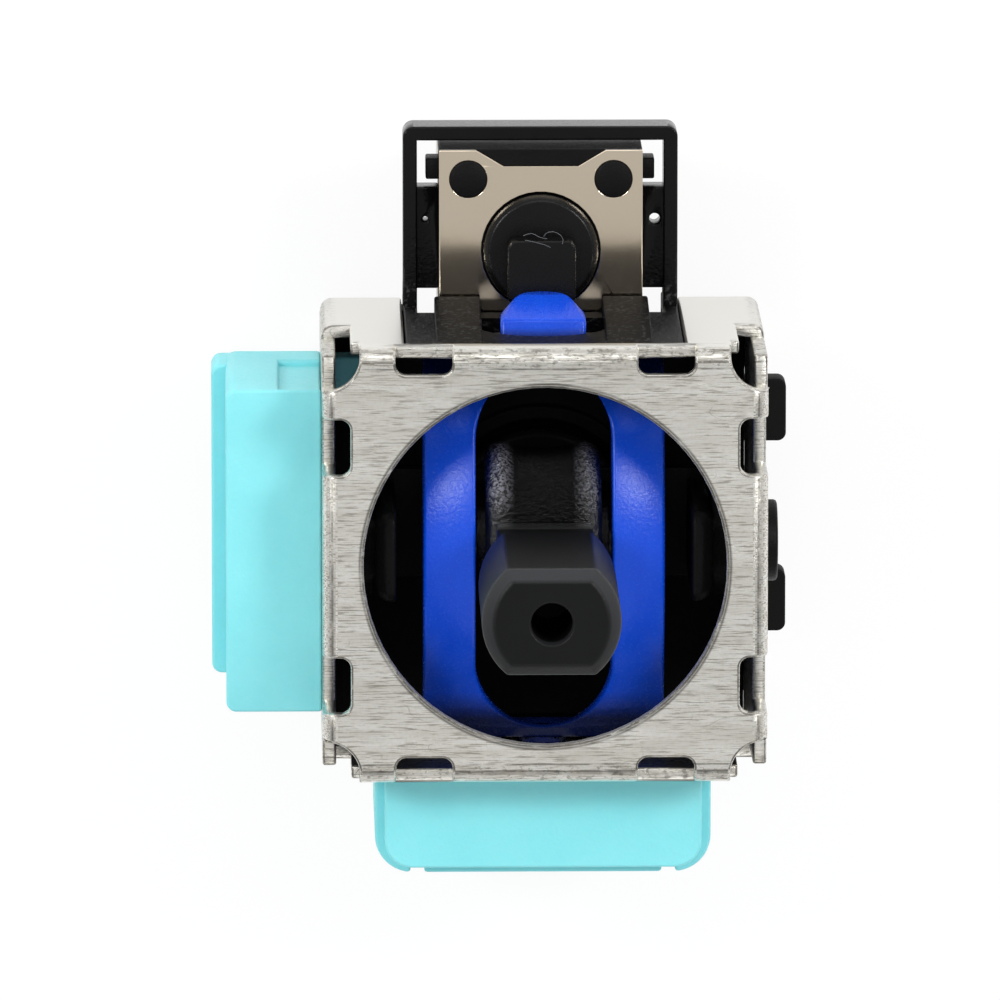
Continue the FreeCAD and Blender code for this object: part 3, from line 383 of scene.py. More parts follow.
# Places on the steel, in millimetres from the axis: where a mask is 0 and where it is full
WALL = (6.38, 6.46)
FOLD = (5.82, 5.95)
SIDE_FOLD = (6.02, 6.2)
FRONT = (-4.6, -6.4)
BURR = (5.37, 5.34)
# Thin lines on the steel: the middle and half the width of each
CREASE = (5.86, 0.04)
RIM_SHADE = (5.41, 0.06)
# The same for a line of painted shade where the metal's face tips over, and for a hair scratch in a slow
# noise
TIPPED_SHADE = (0.924, 0.075)
SCRATCH = (0.5, 0.004)

# Roughness of the polished steel, and how much its dashes, its crazing and its torn burr add
POLISHED = 0.3
DASH_DULL = 0.12
CRAZE_DULL = 0.12
BURR_DULL = 0.35


def brushed_steel():
    """Tin-plated cold-rolled steel, brushed in the coil: short dark dashes along X that follow the folds."""
    look = settings("stick_cover")
    material, tree, shader, place = new_material("brushed_tinned_steel", {"Metallic": 1.0})
    facing = add_node(tree, "NewGeometry", out="True Normal")
    facing = add_node(tree, "VectorMath", {0: facing}, operation="ABSOLUTE")
    facing = add_node(tree, "SeparateXYZ", {0: facing}, out=None)
    spot = add_node(tree, "SeparateXYZ", {0: place}, out=None)
    reach = add_node(tree, "VectorMath", {0: place}, operation="ABSOLUTE")
    reach = add_node(tree, "SeparateXYZ", {0: reach}, out=None)
    unfolded_y = {0: spot["Z"], 1: facing["Y"], 2: spot["Y"]}
    unfolded_x = {0: spot["Z"], 1: facing["X"], 2: spot["X"]}
    across = add_node(tree, "Math", unfolded_y, operation="MULTIPLY_ADD")
    along = add_node(tree, "Math", unfolded_x, operation="MULTIPLY_ADD")
    sheet = add_node(tree, "CombineXYZ", {"X": along, "Y": across})

    # The two walls along X were polished by the bending tool and carry no dashes
    wall = add_node(tree, "MapRange", {"Value": reach["Y"], "From Min": WALL[0], "From Max": WALL[1]})
    rolled = add_node(tree, "MapRange", {"Value": wall, "From Min": 1.0, "From Max": 0.0})
    # Dashes about 0.1 mm apart and a millimetre long, thicker in some patches than in others
    patches = cloud(tree, sheet, *DASH_PATCHES)
    dash = add_node(tree, "Math", {0: cloud(tree, sheet, *DASHES), 1: patches}, operation="MULTIPLY")
    dash = add_node(tree, "Math", {0: dash, 1: rolled}, operation="MULTIPLY")
    base = coat(tree, look.steel, look.shade, cloud(tree, sheet, *DULL_BANDS), rolled)
    base = coat(tree, base, look.fleck, cloud(tree, place, *FLECKS), rolled, share=0.3)
    base = coat(tree, base, look.streak_and_shade, dash, share=0.75)
    base = coat(tree, base, look.shade, wall, share=0.55)

    # Bends along X: painted shade darkens each bend, and the plating is crazed between the flat top and the
    # wall, its dark crazing partly painted shade, with a line where it starts
    shaded_bend = add_node(tree, "MapRange", {"Value": reach["Y"], "From Min": FOLD[0], "From Max": FOLD[1]})
    shaded_bend = add_node(tree, "Math", {0: shaded_bend, 1: rolled}, operation="MULTIPLY")
    side = {"Value": reach["X"], "From Min": SIDE_FOLD[0], "From Max": SIDE_FOLD[1], "To Max": 0.35}
    shaded_bend = add_node(tree, "Math", {0: shaded_bend, 1: add_node(tree, "MapRange", side)}, operation="MAXIMUM")
    craze = add_node(tree, "Math", {0: cloud(tree, place, *CRAZING), 1: shaded_bend}, operation="MULTIPLY")
    base = coat(tree, base, look.streak_and_shade, shaded_bend, share=0.15)
    base = coat(tree, base, look.gall_and_shade, craze, share=0.55)
    crease = line_at(tree, reach["Y"], *CREASE)
    base = coat(tree, base, look.gall_and_shade, crease, cloud(tree, place, *CREASE_RUNS), share=0.75)
    # Where a punch or the bend begins, the flat rolls over, and painted shade lays a narrow dark line where
    # its face tips
    tipped = line_at(tree, facing["Z"], *TIPPED_SHADE)
    base = coat(tree, base, look.gall_and_shade, tipped, cloud(tree, place, *SHEARED_RUNS), share=0.8)

    # The punched rim of the window: a line of painted shade behind a bright burr
    flat = add_node(tree, "CombineXYZ", {"X": spot["X"], "Y": spot["Y"]})
    radius = add_node(tree, "VectorMath", {0: flat}, out="Value", operation="LENGTH")
    drawn = line_at(tree, radius, *RIM_SHADE)
    base = coat(tree, base, look.gall_and_shade, drawn, cloud(tree, place, *RIM_RUNS), share=0.85)

    # A thin stain along the front edge of the top
    mottle = cloud(tree, place, *MOTTLE)
    front = {"Value": spot["Y"], "From Min": FRONT[0], "From Max": FRONT[1], "To Max": 0.28}
    base = coat(tree, base, look.rust, mottle, add_node(tree, "MapRange", front))
    # Hair scratches: thin level lines of a slow noise
    slow = add_node(tree, "VectorMath", {0: place, 1: SCRATCH_BLOBS}, operation="MULTIPLY")
    slow = add_node(tree, "TexNoise", {"Vector": slow, "Scale": 1.0, "Detail": 1.0})
    base = coat(tree, base, look.streak_and_shade, line_at(tree, slow, *SCRATCH), mottle, rolled)
    tree.links.new(base, shader.inputs["Base Color"])

    polish = add_node(tree, "Math", {0: dash, 1: DASH_DULL, 2: POLISHED}, operation="MULTIPLY_ADD")
    # The burr at the rim is torn and dull, so that it is bright from all sides
    burr = add_node(tree, "MapRange", {"Value": radius, "From Min": BURR[0], "From Max": BURR[1]})
    polish = add_node(tree, "Math", {0: burr, 1: BURR_DULL, 2: polish}, operation="MULTIPLY_ADD")
    polish = add_node(tree, "Math", {0: craze, 1: CRAZE_DULL, 2: polish}, operation="MULTIPLY_ADD")
    tree.links.new(polish, shader.inputs["Roughness"])
    # The crazing is twice as deep as the dashes
    depth = add_node(tree, "Math", {0: craze, 1: 2.0, 2: dash}, operation="MULTIPLY_ADD")
    bump = add_node(tree, "Bump", {"Strength": 0.25, "Distance": -0.01 * MM, "Height": depth})
    tree.links.new(bump, shader.inputs["Normal"])
    return material


# The upper yoke's painted shade begins over this many millimetres, and ends at the foot of the nose
SHADE_FADE = 0.9
SHADE_SHARE = 0.88
NOSE_FOOT = (6.6, 6.3)


def moulded(name, colours, share, grain, roughness, values, depth=0.012, stretch=BROAD, painted_shade=None,
            open_to=0.0, crown=None):
    """A moulded plastic: two close colours in slow clouds and a grain in microscopic relief.

    Under the cover, from open_to millimetres along Y on, it is painted dark with shade. With a crown it
    shines as if it fell off from the middle, by so many millimetres for a square millimetre along X and
    along Y.
    """
    material, tree, shader, place = new_material(name, values)
    fine = cloud(tree, place, (grain,) * 3, *GRAIN)
    base = coat(tree, colours[0], colours[1], cloud(tree, place, stretch, *SOFT), share=share)
    if painted_shade is not None:
        # Painted shade under the cover, fading in along Y and ending at the foot of the nose
        along = add_node(tree, "SeparateXYZ", {0: place}, out="Y")
        nose = {"Value": along, "From Min": NOSE_FOOT[0], "From Max": NOSE_FOOT[1]}
        away = add_node(tree, "Math", {0: along}, operation="ABSOLUTE")
        away = {"Value": away, "From Min": open_to, "From Max": open_to + SHADE_FADE}
        masks = add_node(tree, "MapRange", away), add_node(tree, "MapRange", nose)
        base = coat(tree, base, painted_shade, *masks, share=SHADE_SHARE)
    tree.links.new(base, shader.inputs["Base Color"])
    gloss = {"Value": fine, "To Min": roughness[0], "To Max": roughness[1]}
    tree.links.new(add_node(tree, "MapRange", gloss), shader.inputs["Roughness"])
    bump = {"Strength": 0.5, "Distance": depth * MM, "Height": fine}
    if crown is not None:
        spot = add_node(tree, "VectorMath", {0: place, 1: place}, operation="MULTIPLY")
        spot = add_node(tree, "VectorMath", {0: spot, 1: crown}, out="Value", operation="DOT_PRODUCT")
        bump["Normal"] = add_node(tree, "Bump", {"Strength": 1.0, "Distance": -MM, "Height": spot})
    tree.links.new(add_node(tree, "Bump", bump), shader.inputs["Normal"])
    return material


# The base's bridge along Y in millimetres: where it rises from 0 to full, and where it falls to 0
BRIDGE = ((5.4, 5.6), (7.2, 6.9))
# What is inside the cover, along Y and along Z, where shade is painted and the plastic is matt
INSIDE_Y = (6.1, 5.9)
INSIDE_Z = (4.5, 3.0)
# Glass fibres that show on the bridge, about 0.14 mm across
GRIT = ((7.0, 7.0, 7.0), 5.0, 0.53, 0.64)
# Specular level of the smooth plastic, and what is left of it on the bridge
SMOOTH_SHINE = 0.14
BRIDGE_SHINE = 0.4 * SMOOTH_SHINE
# Roughness of the smooth plastic, and how much the bridge and the inside add
SMOOTH = 0.16
BRIDGE_DULL = 0.3
INSIDE_DULL = 0.5


def glass_filled():
    """Glass-filled polyester: matt and painted dark with shade inside the cover, rough with pale fibres on
    the bridge, smooth beyond.
    """
    look = settings("stick_base")
    values = {"IOR": 1.56, "Specular IOR Level": SMOOTH_SHINE}
    material, tree, shader, place = new_material("glass_filled_polyester", values)
    spot = add_node(tree, "SeparateXYZ", {0: place}, out=None)
    base = coat(tree, look.plastic, look.shade, cloud(tree, place, BROAD, *SOFT), share=0.6)
    bridge = band(tree, spot["Y"], *BRIDGE)
    grit = add_node(tree, "Math", {0: cloud(tree, place, *GRIT), 1: bridge}, operation="MULTIPLY")
    base = coat(tree, base, look.fibre, grit, share=0.13)
    behind = {"Value": spot["Y"], "From Min": INSIDE_Y[0], "From Max": INSIDE_Y[1]}
    behind = add_node(tree, "MapRange", behind)
    below = {"Value": spot["Z"], "From Min": INSIDE_Z[0], "From Max": INSIDE_Z[1]}
    below = add_node(tree, "MapRange", below)
    inside = add_node(tree, "Math", {0: behind, 1: below}, operation="MULTIPLY")
    # Painted shade inside the cover
    base = coat(tree, base, look.inside, inside, share=0.8)
    tree.links.new(base, shader.inputs["Base Color"])
    shine = {"Value": bridge, "To Min": SMOOTH_SHINE, "To Max": BRIDGE_SHINE}
    tree.links.new(add_node(tree, "MapRange", shine), shader.inputs["Specular IOR Level"])
    gloss = add_node(tree, "Math", {0: bridge, 1: BRIDGE_DULL, 2: SMOOTH}, operation="MULTIPLY_ADD")
    gloss = add_node(tree, "Math", {0: inside, 1: INSIDE_DULL, 2: gloss}, operation="MULTIPLY_ADD")
    tree.links.new(gloss, shader.inputs["Roughness"])
    # The fibres stand three times as high as the grain
    fine = cloud(tree, place, COARSE, *GRAIN)
    height = add_node(tree, "Math", {0: grit, 1: 3.0, 2: fine}, operation="MULTIPLY_ADD")
    bump = add_node(tree, "Bump", {"Strength": 0.4, "Distance": 0.012 * MM, "Height": height})
    tree.links.new(bump, shader.inputs["Normal"])
    return material


# The hub is what lies below this slope of heights, in millimetres
HUB = (9.6, 8.6)
# The sloped ring round the tip, where it starts and ends, and how it is rubbed and painted with sheen more
# toward the switch
TIP_RING = ((18.22, 18.36), (18.7, 18.62))
TIP_RUB = (-2.6, 1.4)
# The hub's shiny ends along X, and the painted highlight specks in them, more toward the switch and the side
# sensor
HUB_ENDS = (0.85, 1.3)
GLINT_SPECKS = ((11.0, 11.0, 11.0), 3.0, 0.45, 0.55)
GLINT_X = (0.5, -0.5)
GLINT_Y = (1.2, 1.9)
# The hub is a saddle that rises toward its ends and toward the switch: millimetres for each along Y,
# and for each square millimetre along X
SADDLE_Y = 1.05
SADDLE_X = 0.065


def filled_nylon():
    """Glass-filled nylon: a wrinkled shiny skin on the hub below, a fine satin on the shaft above it."""
    look = settings("stick_lever")
    values = {"IOR": 1.53, "Specular IOR Level": 0.15}
    material, tree, shader, place = new_material("glass_filled_nylon", values)
    spot = add_node(tree, "SeparateXYZ", {0: place}, out=None)
    hub = add_node(tree, "MapRange", {"Value": spot["Z"], "From Min": HUB[0], "From Max": HUB[1]})
    base = coat(tree, look.plastic, look.shade, cloud(tree, place, BROAD, *SOFT), share=0.3)
    # Painted shade: the hub inside the cover is laid darker
    base = coat(tree, base, look.hub, hub, share=0.6)
    # The slope round the tip is rubbed pale, and painted pale as a sheen
    rub = {"Value": spot["Y"], "From Min": TIP_RUB[0], "From Max": TIP_RUB[1], "To Max": 0.68}
    ring = band(tree, spot["Z"], *TIP_RING)
    base = coat(tree, base, look.wear_and_sheen, ring, add_node(tree, "MapRange", rub))
    gloss = {"Value": hub, "To Min": 0.42, "To Max": 0.24}
    tree.links.new(add_node(tree, "MapRange", gloss), shader.inputs["Roughness"])
    # The yoke rubs the hub shiny near its ends
    ends = add_node(tree, "Math", {0: spot["X"]}, operation="ABSOLUTE")
    ends = add_node(tree, "MapRange", {"Value": ends, "From Min": HUB_ENDS[0], "From Max": HUB_ENDS[1]})
    ends = add_node(tree, "Math", {0: ends, 1: hub}, operation="MULTIPLY")
    # Painted highlight: pale specks laid on the hub's ends
    left = {"Value": spot["X"], "From Min": GLINT_X[0], "From Max": GLINT_X[1], "To Min": 0.5,
            "To Max": 0.95}
    near = {"Value": spot["Y"], "From Min": GLINT_Y[0], "From Max": GLINT_Y[1]}
    masks = ends, add_node(tree, "MapRange", left), add_node(tree, "MapRange", near)
    base = coat(tree, base, look.painted_highlight, cloud(tree, place, *GLINT_SPECKS), *masks)
    tree.links.new(base, shader.inputs["Base Color"])
    shine = {"Value": ends, "To Min": 0.15, "To Max": 1.0}
    tree.links.new(add_node(tree, "MapRange", shine), shader.inputs["Specular IOR Level"])
    # Wrinkles about 0.1 mm apart, which all but end at the shaft
    wrinkle = cloud(tree, place, COARSE, *GRAIN)
    depth = add_node(tree, "MapRange", {"Value": hub, "To Min": 0.08, "To Max": 1.0})
    wrinkle = add_node(tree, "Math", {0: wrinkle, 1: depth}, operation="MULTIPLY")
    saddle = add_node(tree, "Math", {0: spot["X"], 1: spot["X"]}, operation="MULTIPLY")
    saddle = add_node(tree, "Math", {0: saddle, 1: SADDLE_X}, operation="MULTIPLY")
    saddle = add_node(tree, "Math", {0: spot["Y"], 1: SADDLE_Y, 2: saddle}, operation="MULTIPLY_ADD")
    saddle = add_node(tree, "Math", {0: saddle, 1: hub}, operation="MULTIPLY")
    saddle = add_node(tree, "Bump", {"Strength": 1.0, "Distance": MM, "Height": saddle})
    bump = {"Strength": 1.0, "Distance": 0.05 * MM, "Height": wrinkle, "Normal": saddle}
    tree.links.new(add_node(tree, "Bump", bump), shader.inputs["Normal"])
    return material


def satin_metal(name, colours, roughness, stretch, depth=0.006, lean=0.0):
    """A rolled or drawn metal: faint lines along one direction and a soft, uneven shine.

    A lean above 0 tips its shine as if it rose that many millimetres for each one along Y.
    """
    material, tree, shader, place = new_material(name, {"Metallic": 1.0})
    line = cloud(tree, place, stretch, *SOFT)
    tree.links.new(coat(tree, colours[0], colours[1], line), shader.inputs["Base Color"])
    shine = {"Value": line, "To Min": roughness[0], "To Max": roughness[1]}
    tree.links.new(add_node(tree, "MapRange", shine), shader.inputs["Roughness"])
    bump = add_node(tree, "Bump", {"Strength": 0.3, "Distance": depth * MM, "Height": line})
    if lean:
        rise = add_node(tree, "SeparateXYZ", {0: place}, out="Y")
        rise = add_node(tree, "Math", {0: rise, 1: lean}, operation="MULTIPLY")
        bump = add_node(tree, "Bump", {"Strength": 1.0, "Distance": MM, "Height": rise, "Normal": bump})
    tree.links.new(bump, shader.inputs["Normal"])
    return material


# Pieces


class STICK_OT_cover(bpy.types.Operator):
    """Folded steel cover with its bend slots, corner reliefs and solder legs"""

    bl_idname = "stick.cover"
    bl_label = "Steel cover"

    def execute(self, context):
        look = settings("stick_cover")
        dress_copy("metal_cover", look.edge, "housing", brushed_steel())
        return {"FINISHED"}


class STICK_OT_base(bpy.types.Operator):
    """Moulded base with the bridge over the switch and the switch collar"""

    bl_idname = "stick.base"
    bl_label = "Base"

    def execute(self, context):
        look = settings("stick_base")
        dress_copy("base", look.edge, "housing", glass_filled())
        return {"FINISHED"}


class STICK_OT_switch(bpy.types.Operator):
    """Push switch: body, riveted plate, snap dome, plunger and legs"""

    bl_idname = "stick.switch"
    bl_label = "Push switch"

    def execute(self, context):
        look = settings("stick_switch")
        # Moulded nylon: dull black with a faint grain
        plastic = moulded(
            "moulded_nylon_switch", (look.plastic, look.plastic_shade), 0.5, 16.0, (0.35, 0.55),
            {"IOR": 1.53, "Specular IOR Level": 0.1})
        dress_copy("switch_body", look.edge, "housing", plastic)
        # Rolled nickel-plated steel: smooth and warm, a soft mirror of the room
        plate = satin_metal(
            "rolled_nickel_steel", (look.plate, look.plate_shade), (0.13, 0.17), (0.5, 0.5, 0.5),
            depth=0.002, lean=0.085)
        dress_copy("switch_plate", look.plate_edge, "housing", plate)
        # Smooth acetal: black, with a thin light round its rim
        button = moulded(
            "moulded_acetal_button", (look.button, look.button_shade), 0.5, 12.0, (0.22, 0.34),
            {"IOR": 1.48, "Specular IOR Level": 0.2}, depth=0.003)
        self.add_plunger(look, button)
        self.add_lint(look)
        # Tinned brass: pale satin with faint lines across the legs
        sensors = settings("stick_sensors")
        tinned = satin_metal(
            "tinned_brass_switch", (sensors.tin, sensors.tin_shade), (0.25, 0.4), (4.0, 4.0, 0.5))
        paint_node("switch_terminals", tinned)
        # Stamped spring steel: bright, with rolled lines
        dome = satin_metal("stamped_spring_steel", (look.dome, look.dome_shade), (0.2, 0.3), (5.0, 0.5, 1.0))
        paint_node("switch_dome", dome)
        return {"FINISHED"}

    def add_plunger(self, look, material):
        """The plunger with its broad rim rounded first and its post's edges after it."""
        shape = merged_copy("switch_plunger")
        left = min(shape.verts, key=lambda corner: corner.co.x).co
        right = max(shape.verts, key=lambda corner: corner.co.x).co
        middle = (left + right) / 2
        rim = RIM_SHARE * (right - left).xy.length / 2

        def on_rim(edge):
            return min((corner.co - middle).xy.length for corner in edge.verts) > rim

        round_edges(shape, look.button_edge, on_rim, 3)
        round_edges(shape, look.edge, lambda edge: not on_rim(edge))
        finish_piece(
            shape, "switch_plunger_dressed", "push_button", material, ["switch_plunger"])

    def add_lint(self, look):
        """Lint fibres caught on the plunger's post."""
        shape = bmesh.new()
        for line in LINT:
            points = [Vector((x, y, LINT_HEIGHT)) * MM for x, y in line]
            before = None
            for place, point in enumerate(points):
                heading = points[min(place + 1, len(points) - 1)] - points[max(place - 1, 0)]
                turn = heading.to_track_quat("Z", "Y").to_matrix().to_4x4()
                ring = bmesh.ops.create_circle(
                    shape, segments=LINT_SIDES, radius=LINT_RADIUS * MM,
                    matrix=Matrix.Translation(point) @ turn)["verts"]
                edges = list({edge for corner in ring for edge in corner.link_edges})
                if before:
                    bmesh.ops.bridge_loops(shape, edges=before + edges)
                before = edges
        bmesh.ops.holes_fill(shape, edges=shape.edges, sides=LINT_SIDES)
        bmesh.ops.recalc_face_normals(shape, faces=shape.faces)
        # Cotton lint: matt pale hairs
        cotton = moulded("cotton_lint", (look.lint, look.lint_shade), 0.8, 9.0, (0.7, 0.9), {"IOR": 1.5})
        finish_piece(shape, "lint", "push_button", cotton)


class STICK_OT_sensors(bpy.types.Operator):
    """Two rotary sensors: mint housings, boards, terminals, rotors and wipers"""

    bl_idname = "stick.sensors"
    bl_label = "Rotary sensors"

    def execute(self, context):
        look = settings("stick_sensors")
        # Moulded polyester: satin mint with a little light under its skin
        mint = moulded(
            "moulded_polyester_mint", (look.mint, look.shade), 0.35, 9.0, (0.42, 0.58),
            {"IOR": 1.56, "Specular IOR Level": 0.4, "Subsurface Weight": 0.12,
             "Subsurface Scale": 0.4 * MM})
        # Phenolic paper: brown and fibrous where it is cut
        board = moulded(
            "phenolic_paper", (look.board, look.board_shade), 0.8, 7.0, (0.4, 0.6), {"IOR": 1.6})
        # Natural acetal: milky and waxy
        white = moulded(
            "natural_acetal", (look.white, look.white_shade), 0.4, 8.0, (0.35, 0.5), {"IOR": 1.48})
        # Rolled brass, bright on the wipers and pale under its tin on the terminals
        brass = satin_metal("bright_brass", (look.brass, look.brass_shade), (0.22, 0.35), (4.0, 4.0, 0.5))
        tinned = satin_metal("tinned_brass", (look.tin, look.tin_shade), (0.25, 0.4), (4.0, 4.0, 0.5))
        for pot, body in (("pot_x", "cradle"), ("pot_y", "swing_rotor")):
            dress_copy(pot + "_housing", look.edge, "housing", mint)
            paint_node(pot + "_board", board)
            paint_node(pot + "_terminals", tinned)
            dress_copy(pot + "_rotor", look.rotor_edge, body, white)
            paint_node(pot + "_wiper", brass)
        self.add_tab(look, mint)
        return {"FINISHED"}

    def add_tab(self, look, material):
        """The side sensor's tab, seen through the cover's corner hole."""
        shape = bmesh.new()
        bmesh.ops.create_cube(shape, size=1.0)
        bmesh.ops.scale(shape, verts=shape.verts, vec=Vector(TAB_SIZE) * MM)
        bmesh.ops.translate(shape, verts=shape.verts, vec=Vector(TAB_MIDDLE) * MM)
        round_edges(shape, look.edge)
        finish_piece(shape, "pot_x_tab", "housing", material)


class STICK_OT_yokes(bpy.types.Operator):
    """The blue upper yoke and the black cradle below it"""

    bl_idname = "stick.yokes"
    bl_label = "Yokes"

    def execute(self, context):
        look = settings("stick_yokes")
        # Moulded acetal: waxy blue, rubbed paler in streaks along the rails, with a soft light on each, and
        # painted shade under the cover
        blue = moulded(
            "moulded_acetal_blue", (look.blue, look.scuff), 0.25, 10.0, (0.2, 0.3),
            {"IOR": 1.48, "Specular IOR Level": 0.34, "Subsurface Weight": 0.08,
             "Subsurface Scale": 0.3 * MM},
            depth=0.008, stretch=(1.1, 0.25, 0.45), painted_shade=look.painted_shade, open_to=4.2,
            crown=(0.055, 0.0165, 0.0))
        dress_copy("upper_yoke", look.edge, "lever_yoke", blue)
        # The same in black: dull, with a fine grain
        black = moulded(
            "moulded_acetal_black", (look.black, look.black_shade), 0.5, 12.0, (0.35, 0.5),
            {"IOR": 1.48, "Specular IOR Level": 0.12})
        dress_copy("lower_yoke", look.edge, "cradle", black)
        return {"FINISHED"}


class STICK_OT_lever(bpy.types.Operator):
    """The lever with its hub, neck and double-D shaft, and its pin"""

    bl_idname = "stick.lever"
    bl_label = "Lever"

    def execute(self, context):
        look = settings("stick_lever")
        dress_copy("lever", look.edge, "stick", filled_nylon())
        # Blackened drawn steel: dark satin with lines along the pin
        pin = satin_metal("blackened_steel_pin", (look.pin, look.pin_shade), (0.3, 0.4), (0.5, 8.0, 8.0))
        paint_node("lever_pin", pin)
        return {"FINISHED"}


class STICK_OT_spring(bpy.types.Operator):
    """The return spring and the seat on top of it"""

    bl_idname = "stick.spring"
    bl_label = "Return spring"

    def execute(self, context):
        look = settings("stick_spring")
        # Moulded acetal: dull black with a fine grain
        black = moulded(
            "moulded_acetal_seat", (look.seat, look.seat_shade), 0.5, 12.0, (0.35, 0.5),
            {"IOR": 1.48, "Specular IOR Level": 0.12})
        dress_copy("spring_seat", look.edge, "seat", black)
        # Drawn music wire: grey and softly bright
        wire = satin_metal("drawn_music_wire", (look.wire, look.wire_shade), (0.25, 0.4), (3.0, 3.0, 3.0))
        spring = finish_piece(
            merged_copy("return_spring"), "return_spring_dressed", "housing", wire,
            ["return_spring"])
        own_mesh(spring)
        return {"FINISHED"}


# Studio

# Half the floor's side, in metres
FLOOR_REACH = 1.5
# Share of its own white that the floor shows to the camera and to reflections
FLOOR_GLOW = 0.88

# Where each lamp stands and how wide it is, in metres, and the point that all are turned to
LAMPS = {
    "front": ((0.02, -0.32, 0.32), 0.26),
    "back": ((0.0, 0.34, 0.28), 0.28),
    "left": ((-0.27, 0.17, 0.34), 0.12),
    "right": ((0.27, 0.17, 0.34), 0.12),
}
LAMP_AIM = (0.0, 0.0, 5 * MM)

# The middle of the picture, in millimetres, and the direction from it to the camera
CAMERA_AIM = (-1.324, 1.998, 10.0)
CAMERA_BACK = (-0.018, 0.182, 0.983)
# The photograph's 1000 pixels span this many millimetres at the cover's top
PICTURE_WIDTH = 29.1


def floor_material():
    """Matt white paper. The camera and reflections see it as white, with the part's shadow kept."""
    look = settings("stick_studio")
    material = bpy.data.materials.new("white_paper")
    material.use_nodes = True
    tree = material.node_tree
    tree.nodes.clear()
    place = add_node(tree, "TexCoord", out="Object")
    # Paper fibre about 0.4 mm across
    fibre = add_node(tree, "TexNoise", {"Vector": place, "Scale": 2500.0, "Detail": 2.0})
    bump = add_node(tree, "Bump", {"Strength": 0.05, "Distance": 0.02 * MM, "Height": fibre})
    paper = add_node(tree, "BsdfDiffuse", {"Color": look.floor, "Normal": bump})
    glow = add_node(tree, "Emission", {"Color": look.floor, "Strength": 1.0})
    rays = add_node(tree, "LightPath", out=None)
    seen = {0: rays["Is Camera Ray"], 1: rays["Is Glossy Ray"]}
    seen = add_node(tree, "Math", seen, operation="MAXIMUM")
    seen = add_node(tree, "Math", {0: seen, 1: rays["Is Transmission Ray"]}, operation="MAXIMUM")
    seen = add_node(tree, "Math", {0: seen, 1: FLOOR_GLOW}, operation="MULTIPLY")
    mixed = add_node(tree, "MixShader", {0: seen, 1: paper, 2: glow})
    add_node(tree, "OutputMaterial", {"Surface": mixed}, out=None)
    return material


def add_lamp(name, spot, size, watts):
    """A square soft lamp turned to the part."""
    data = bpy.data.lights.new(name, "AREA")
    data.shape = "SQUARE"
    data.size = size
    data.energy = watts
    lamp = bpy.data.objects.new(name, data)
    bpy.context.scene.collection.objects.link(lamp)
    lamp.location = spot
    lamp.rotation_euler = (Vector(LAMP_AIM) - Vector(spot)).to_track_quat("-Z", "Y").to_euler()


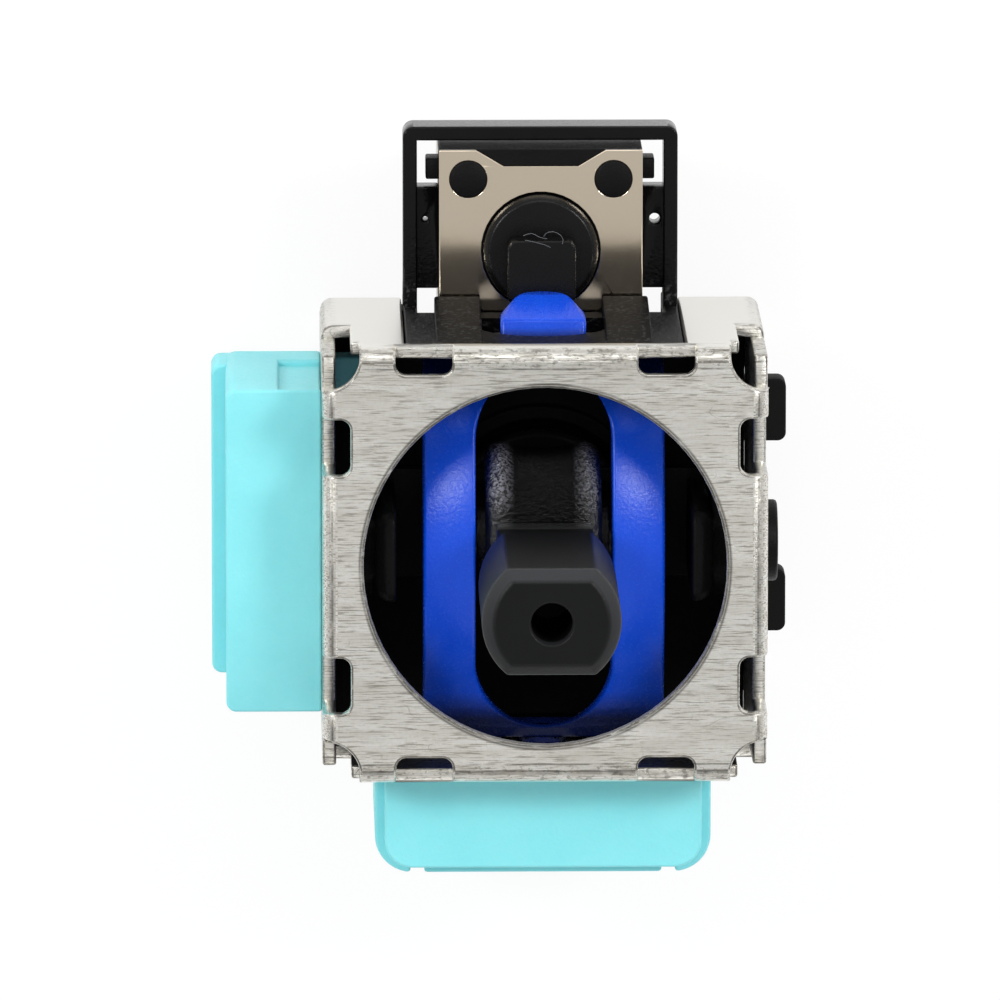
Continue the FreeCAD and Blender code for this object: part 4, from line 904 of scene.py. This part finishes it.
class STICK_OT_stage(bpy.types.Operator):
    """Floor, even sky, soft lamps and the camera above the part"""

    bl_idname = "stick.stage"
    bl_label = "Studio"

    def execute(self, context):
        look = settings("stick_studio")
        lowest = CAD_BOX[0][2]
        shape = bmesh.new()
        bmesh.ops.create_grid(shape, x_segments=1, y_segments=1, size=FLOOR_REACH)
        bmesh.ops.translate(shape, verts=shape.verts, vec=(0, 0, lowest))
        mesh = bpy.data.meshes.new("floor")
        shape.to_mesh(mesh)
        shape.free()
        floor = bpy.data.objects.new("floor", mesh)
        context.scene.collection.objects.link(floor)
        mesh.materials.append(floor_material())
        self.add_sky(context, look)
        for name, (spot, size) in LAMPS.items():
            add_lamp(name + "_lamp", spot, size, getattr(look, name + "_power"))
        self.add_camera(context, look)
        return {"FINISHED"}

    def add_sky(self, context, look):
        """Even light, and white where the camera sees past the floor."""
        world = bpy.data.worlds.new("studio")
        world.use_nodes = True
        tree = world.node_tree
        tree.nodes.clear()
        seen = add_node(tree, "LightPath", out="Is Camera Ray")
        level = add_node(tree, "MapRange", {"Value": seen, "To Min": look.sky, "To Max": 1.0})
        light = add_node(tree, "Background", {"Color": (1, 1, 1, 1), "Strength": level})
        add_node(tree, "OutputWorld", {"Surface": light}, out=None)
        context.scene.world = world

    def add_camera(self, context, look):
        """A long lens almost straight above, tipped a little toward the push switch."""
        aim = Vector(CAMERA_AIM) * MM
        back = Vector(CAMERA_BACK).normalized()
        across = Vector((0, 1, 0)).cross(back).normalized()
        up = back.cross(across)
        data = bpy.data.cameras.new("camera")
        data.sensor_width = 36.0
        data.lens = data.sensor_width * look.distance / (PICTURE_WIDTH * MM)
        data.clip_start = 0.01
        data.clip_end = 10.0
        camera = bpy.data.objects.new("camera", data)
        context.scene.collection.objects.link(camera)
        turn = Matrix((across, up, back)).transposed().to_4x4()
        camera.matrix_world = Matrix.Translation(aim + back * look.distance) @ turn
        context.scene.camera = camera
        context.scene.view_settings.view_transform = "Standard"


class STICK_PT_pieces(bpy.types.Panel):
    """Lists the pieces of the stick and its studio"""

    bl_idname = "STICK_PT_pieces"
    bl_label = "Analog stick"
    bl_space_type = "VIEW_3D"
    bl_region_type = "UI"
    bl_category = "Analog stick"

    def draw(self, context):
        for name, (group, operator) in PIECES.items():
            box = self.layout.box()
            for choice in group.__annotations__:
                box.prop(settings(name), choice)
            box.operator(operator.bl_idname)


# The settings and the operator of each group of pieces, in the order in which they are made
PIECES = {
    "stick_cover": (CoverSettings, STICK_OT_cover),
    "stick_base": (BaseSettings, STICK_OT_base),
    "stick_switch": (SwitchSettings, STICK_OT_switch),
    "stick_sensors": (SensorSettings, STICK_OT_sensors),
    "stick_yokes": (YokeSettings, STICK_OT_yokes),
    "stick_lever": (LeverSettings, STICK_OT_lever),
    "stick_spring": (SpringSettings, STICK_OT_spring),
    "stick_studio": (StudioSettings, STICK_OT_stage),
}


def register():
    for name, (group, operator) in PIECES.items():
        bpy.utils.register_class(group)
        setattr(bpy.types.Scene, name, bpy.props.PointerProperty(type=group))
        bpy.utils.register_class(operator)
    bpy.utils.register_class(STICK_PT_pieces)


def unregister():
    bpy.utils.unregister_class(STICK_PT_pieces)
    for name, (group, operator) in PIECES.items():
        bpy.utils.unregister_class(operator)
        delattr(bpy.types.Scene, name)
        bpy.utils.unregister_class(group)


def main():
    register()
    bpy.ops.stick.cover()
    bpy.ops.stick.base()
    bpy.ops.stick.switch()
    bpy.ops.stick.sensors()
    bpy.ops.stick.yokes()
    bpy.ops.stick.lever()
    bpy.ops.stick.spring()
    bpy.ops.stick.stage()


if __name__ == "__main__":
    main()
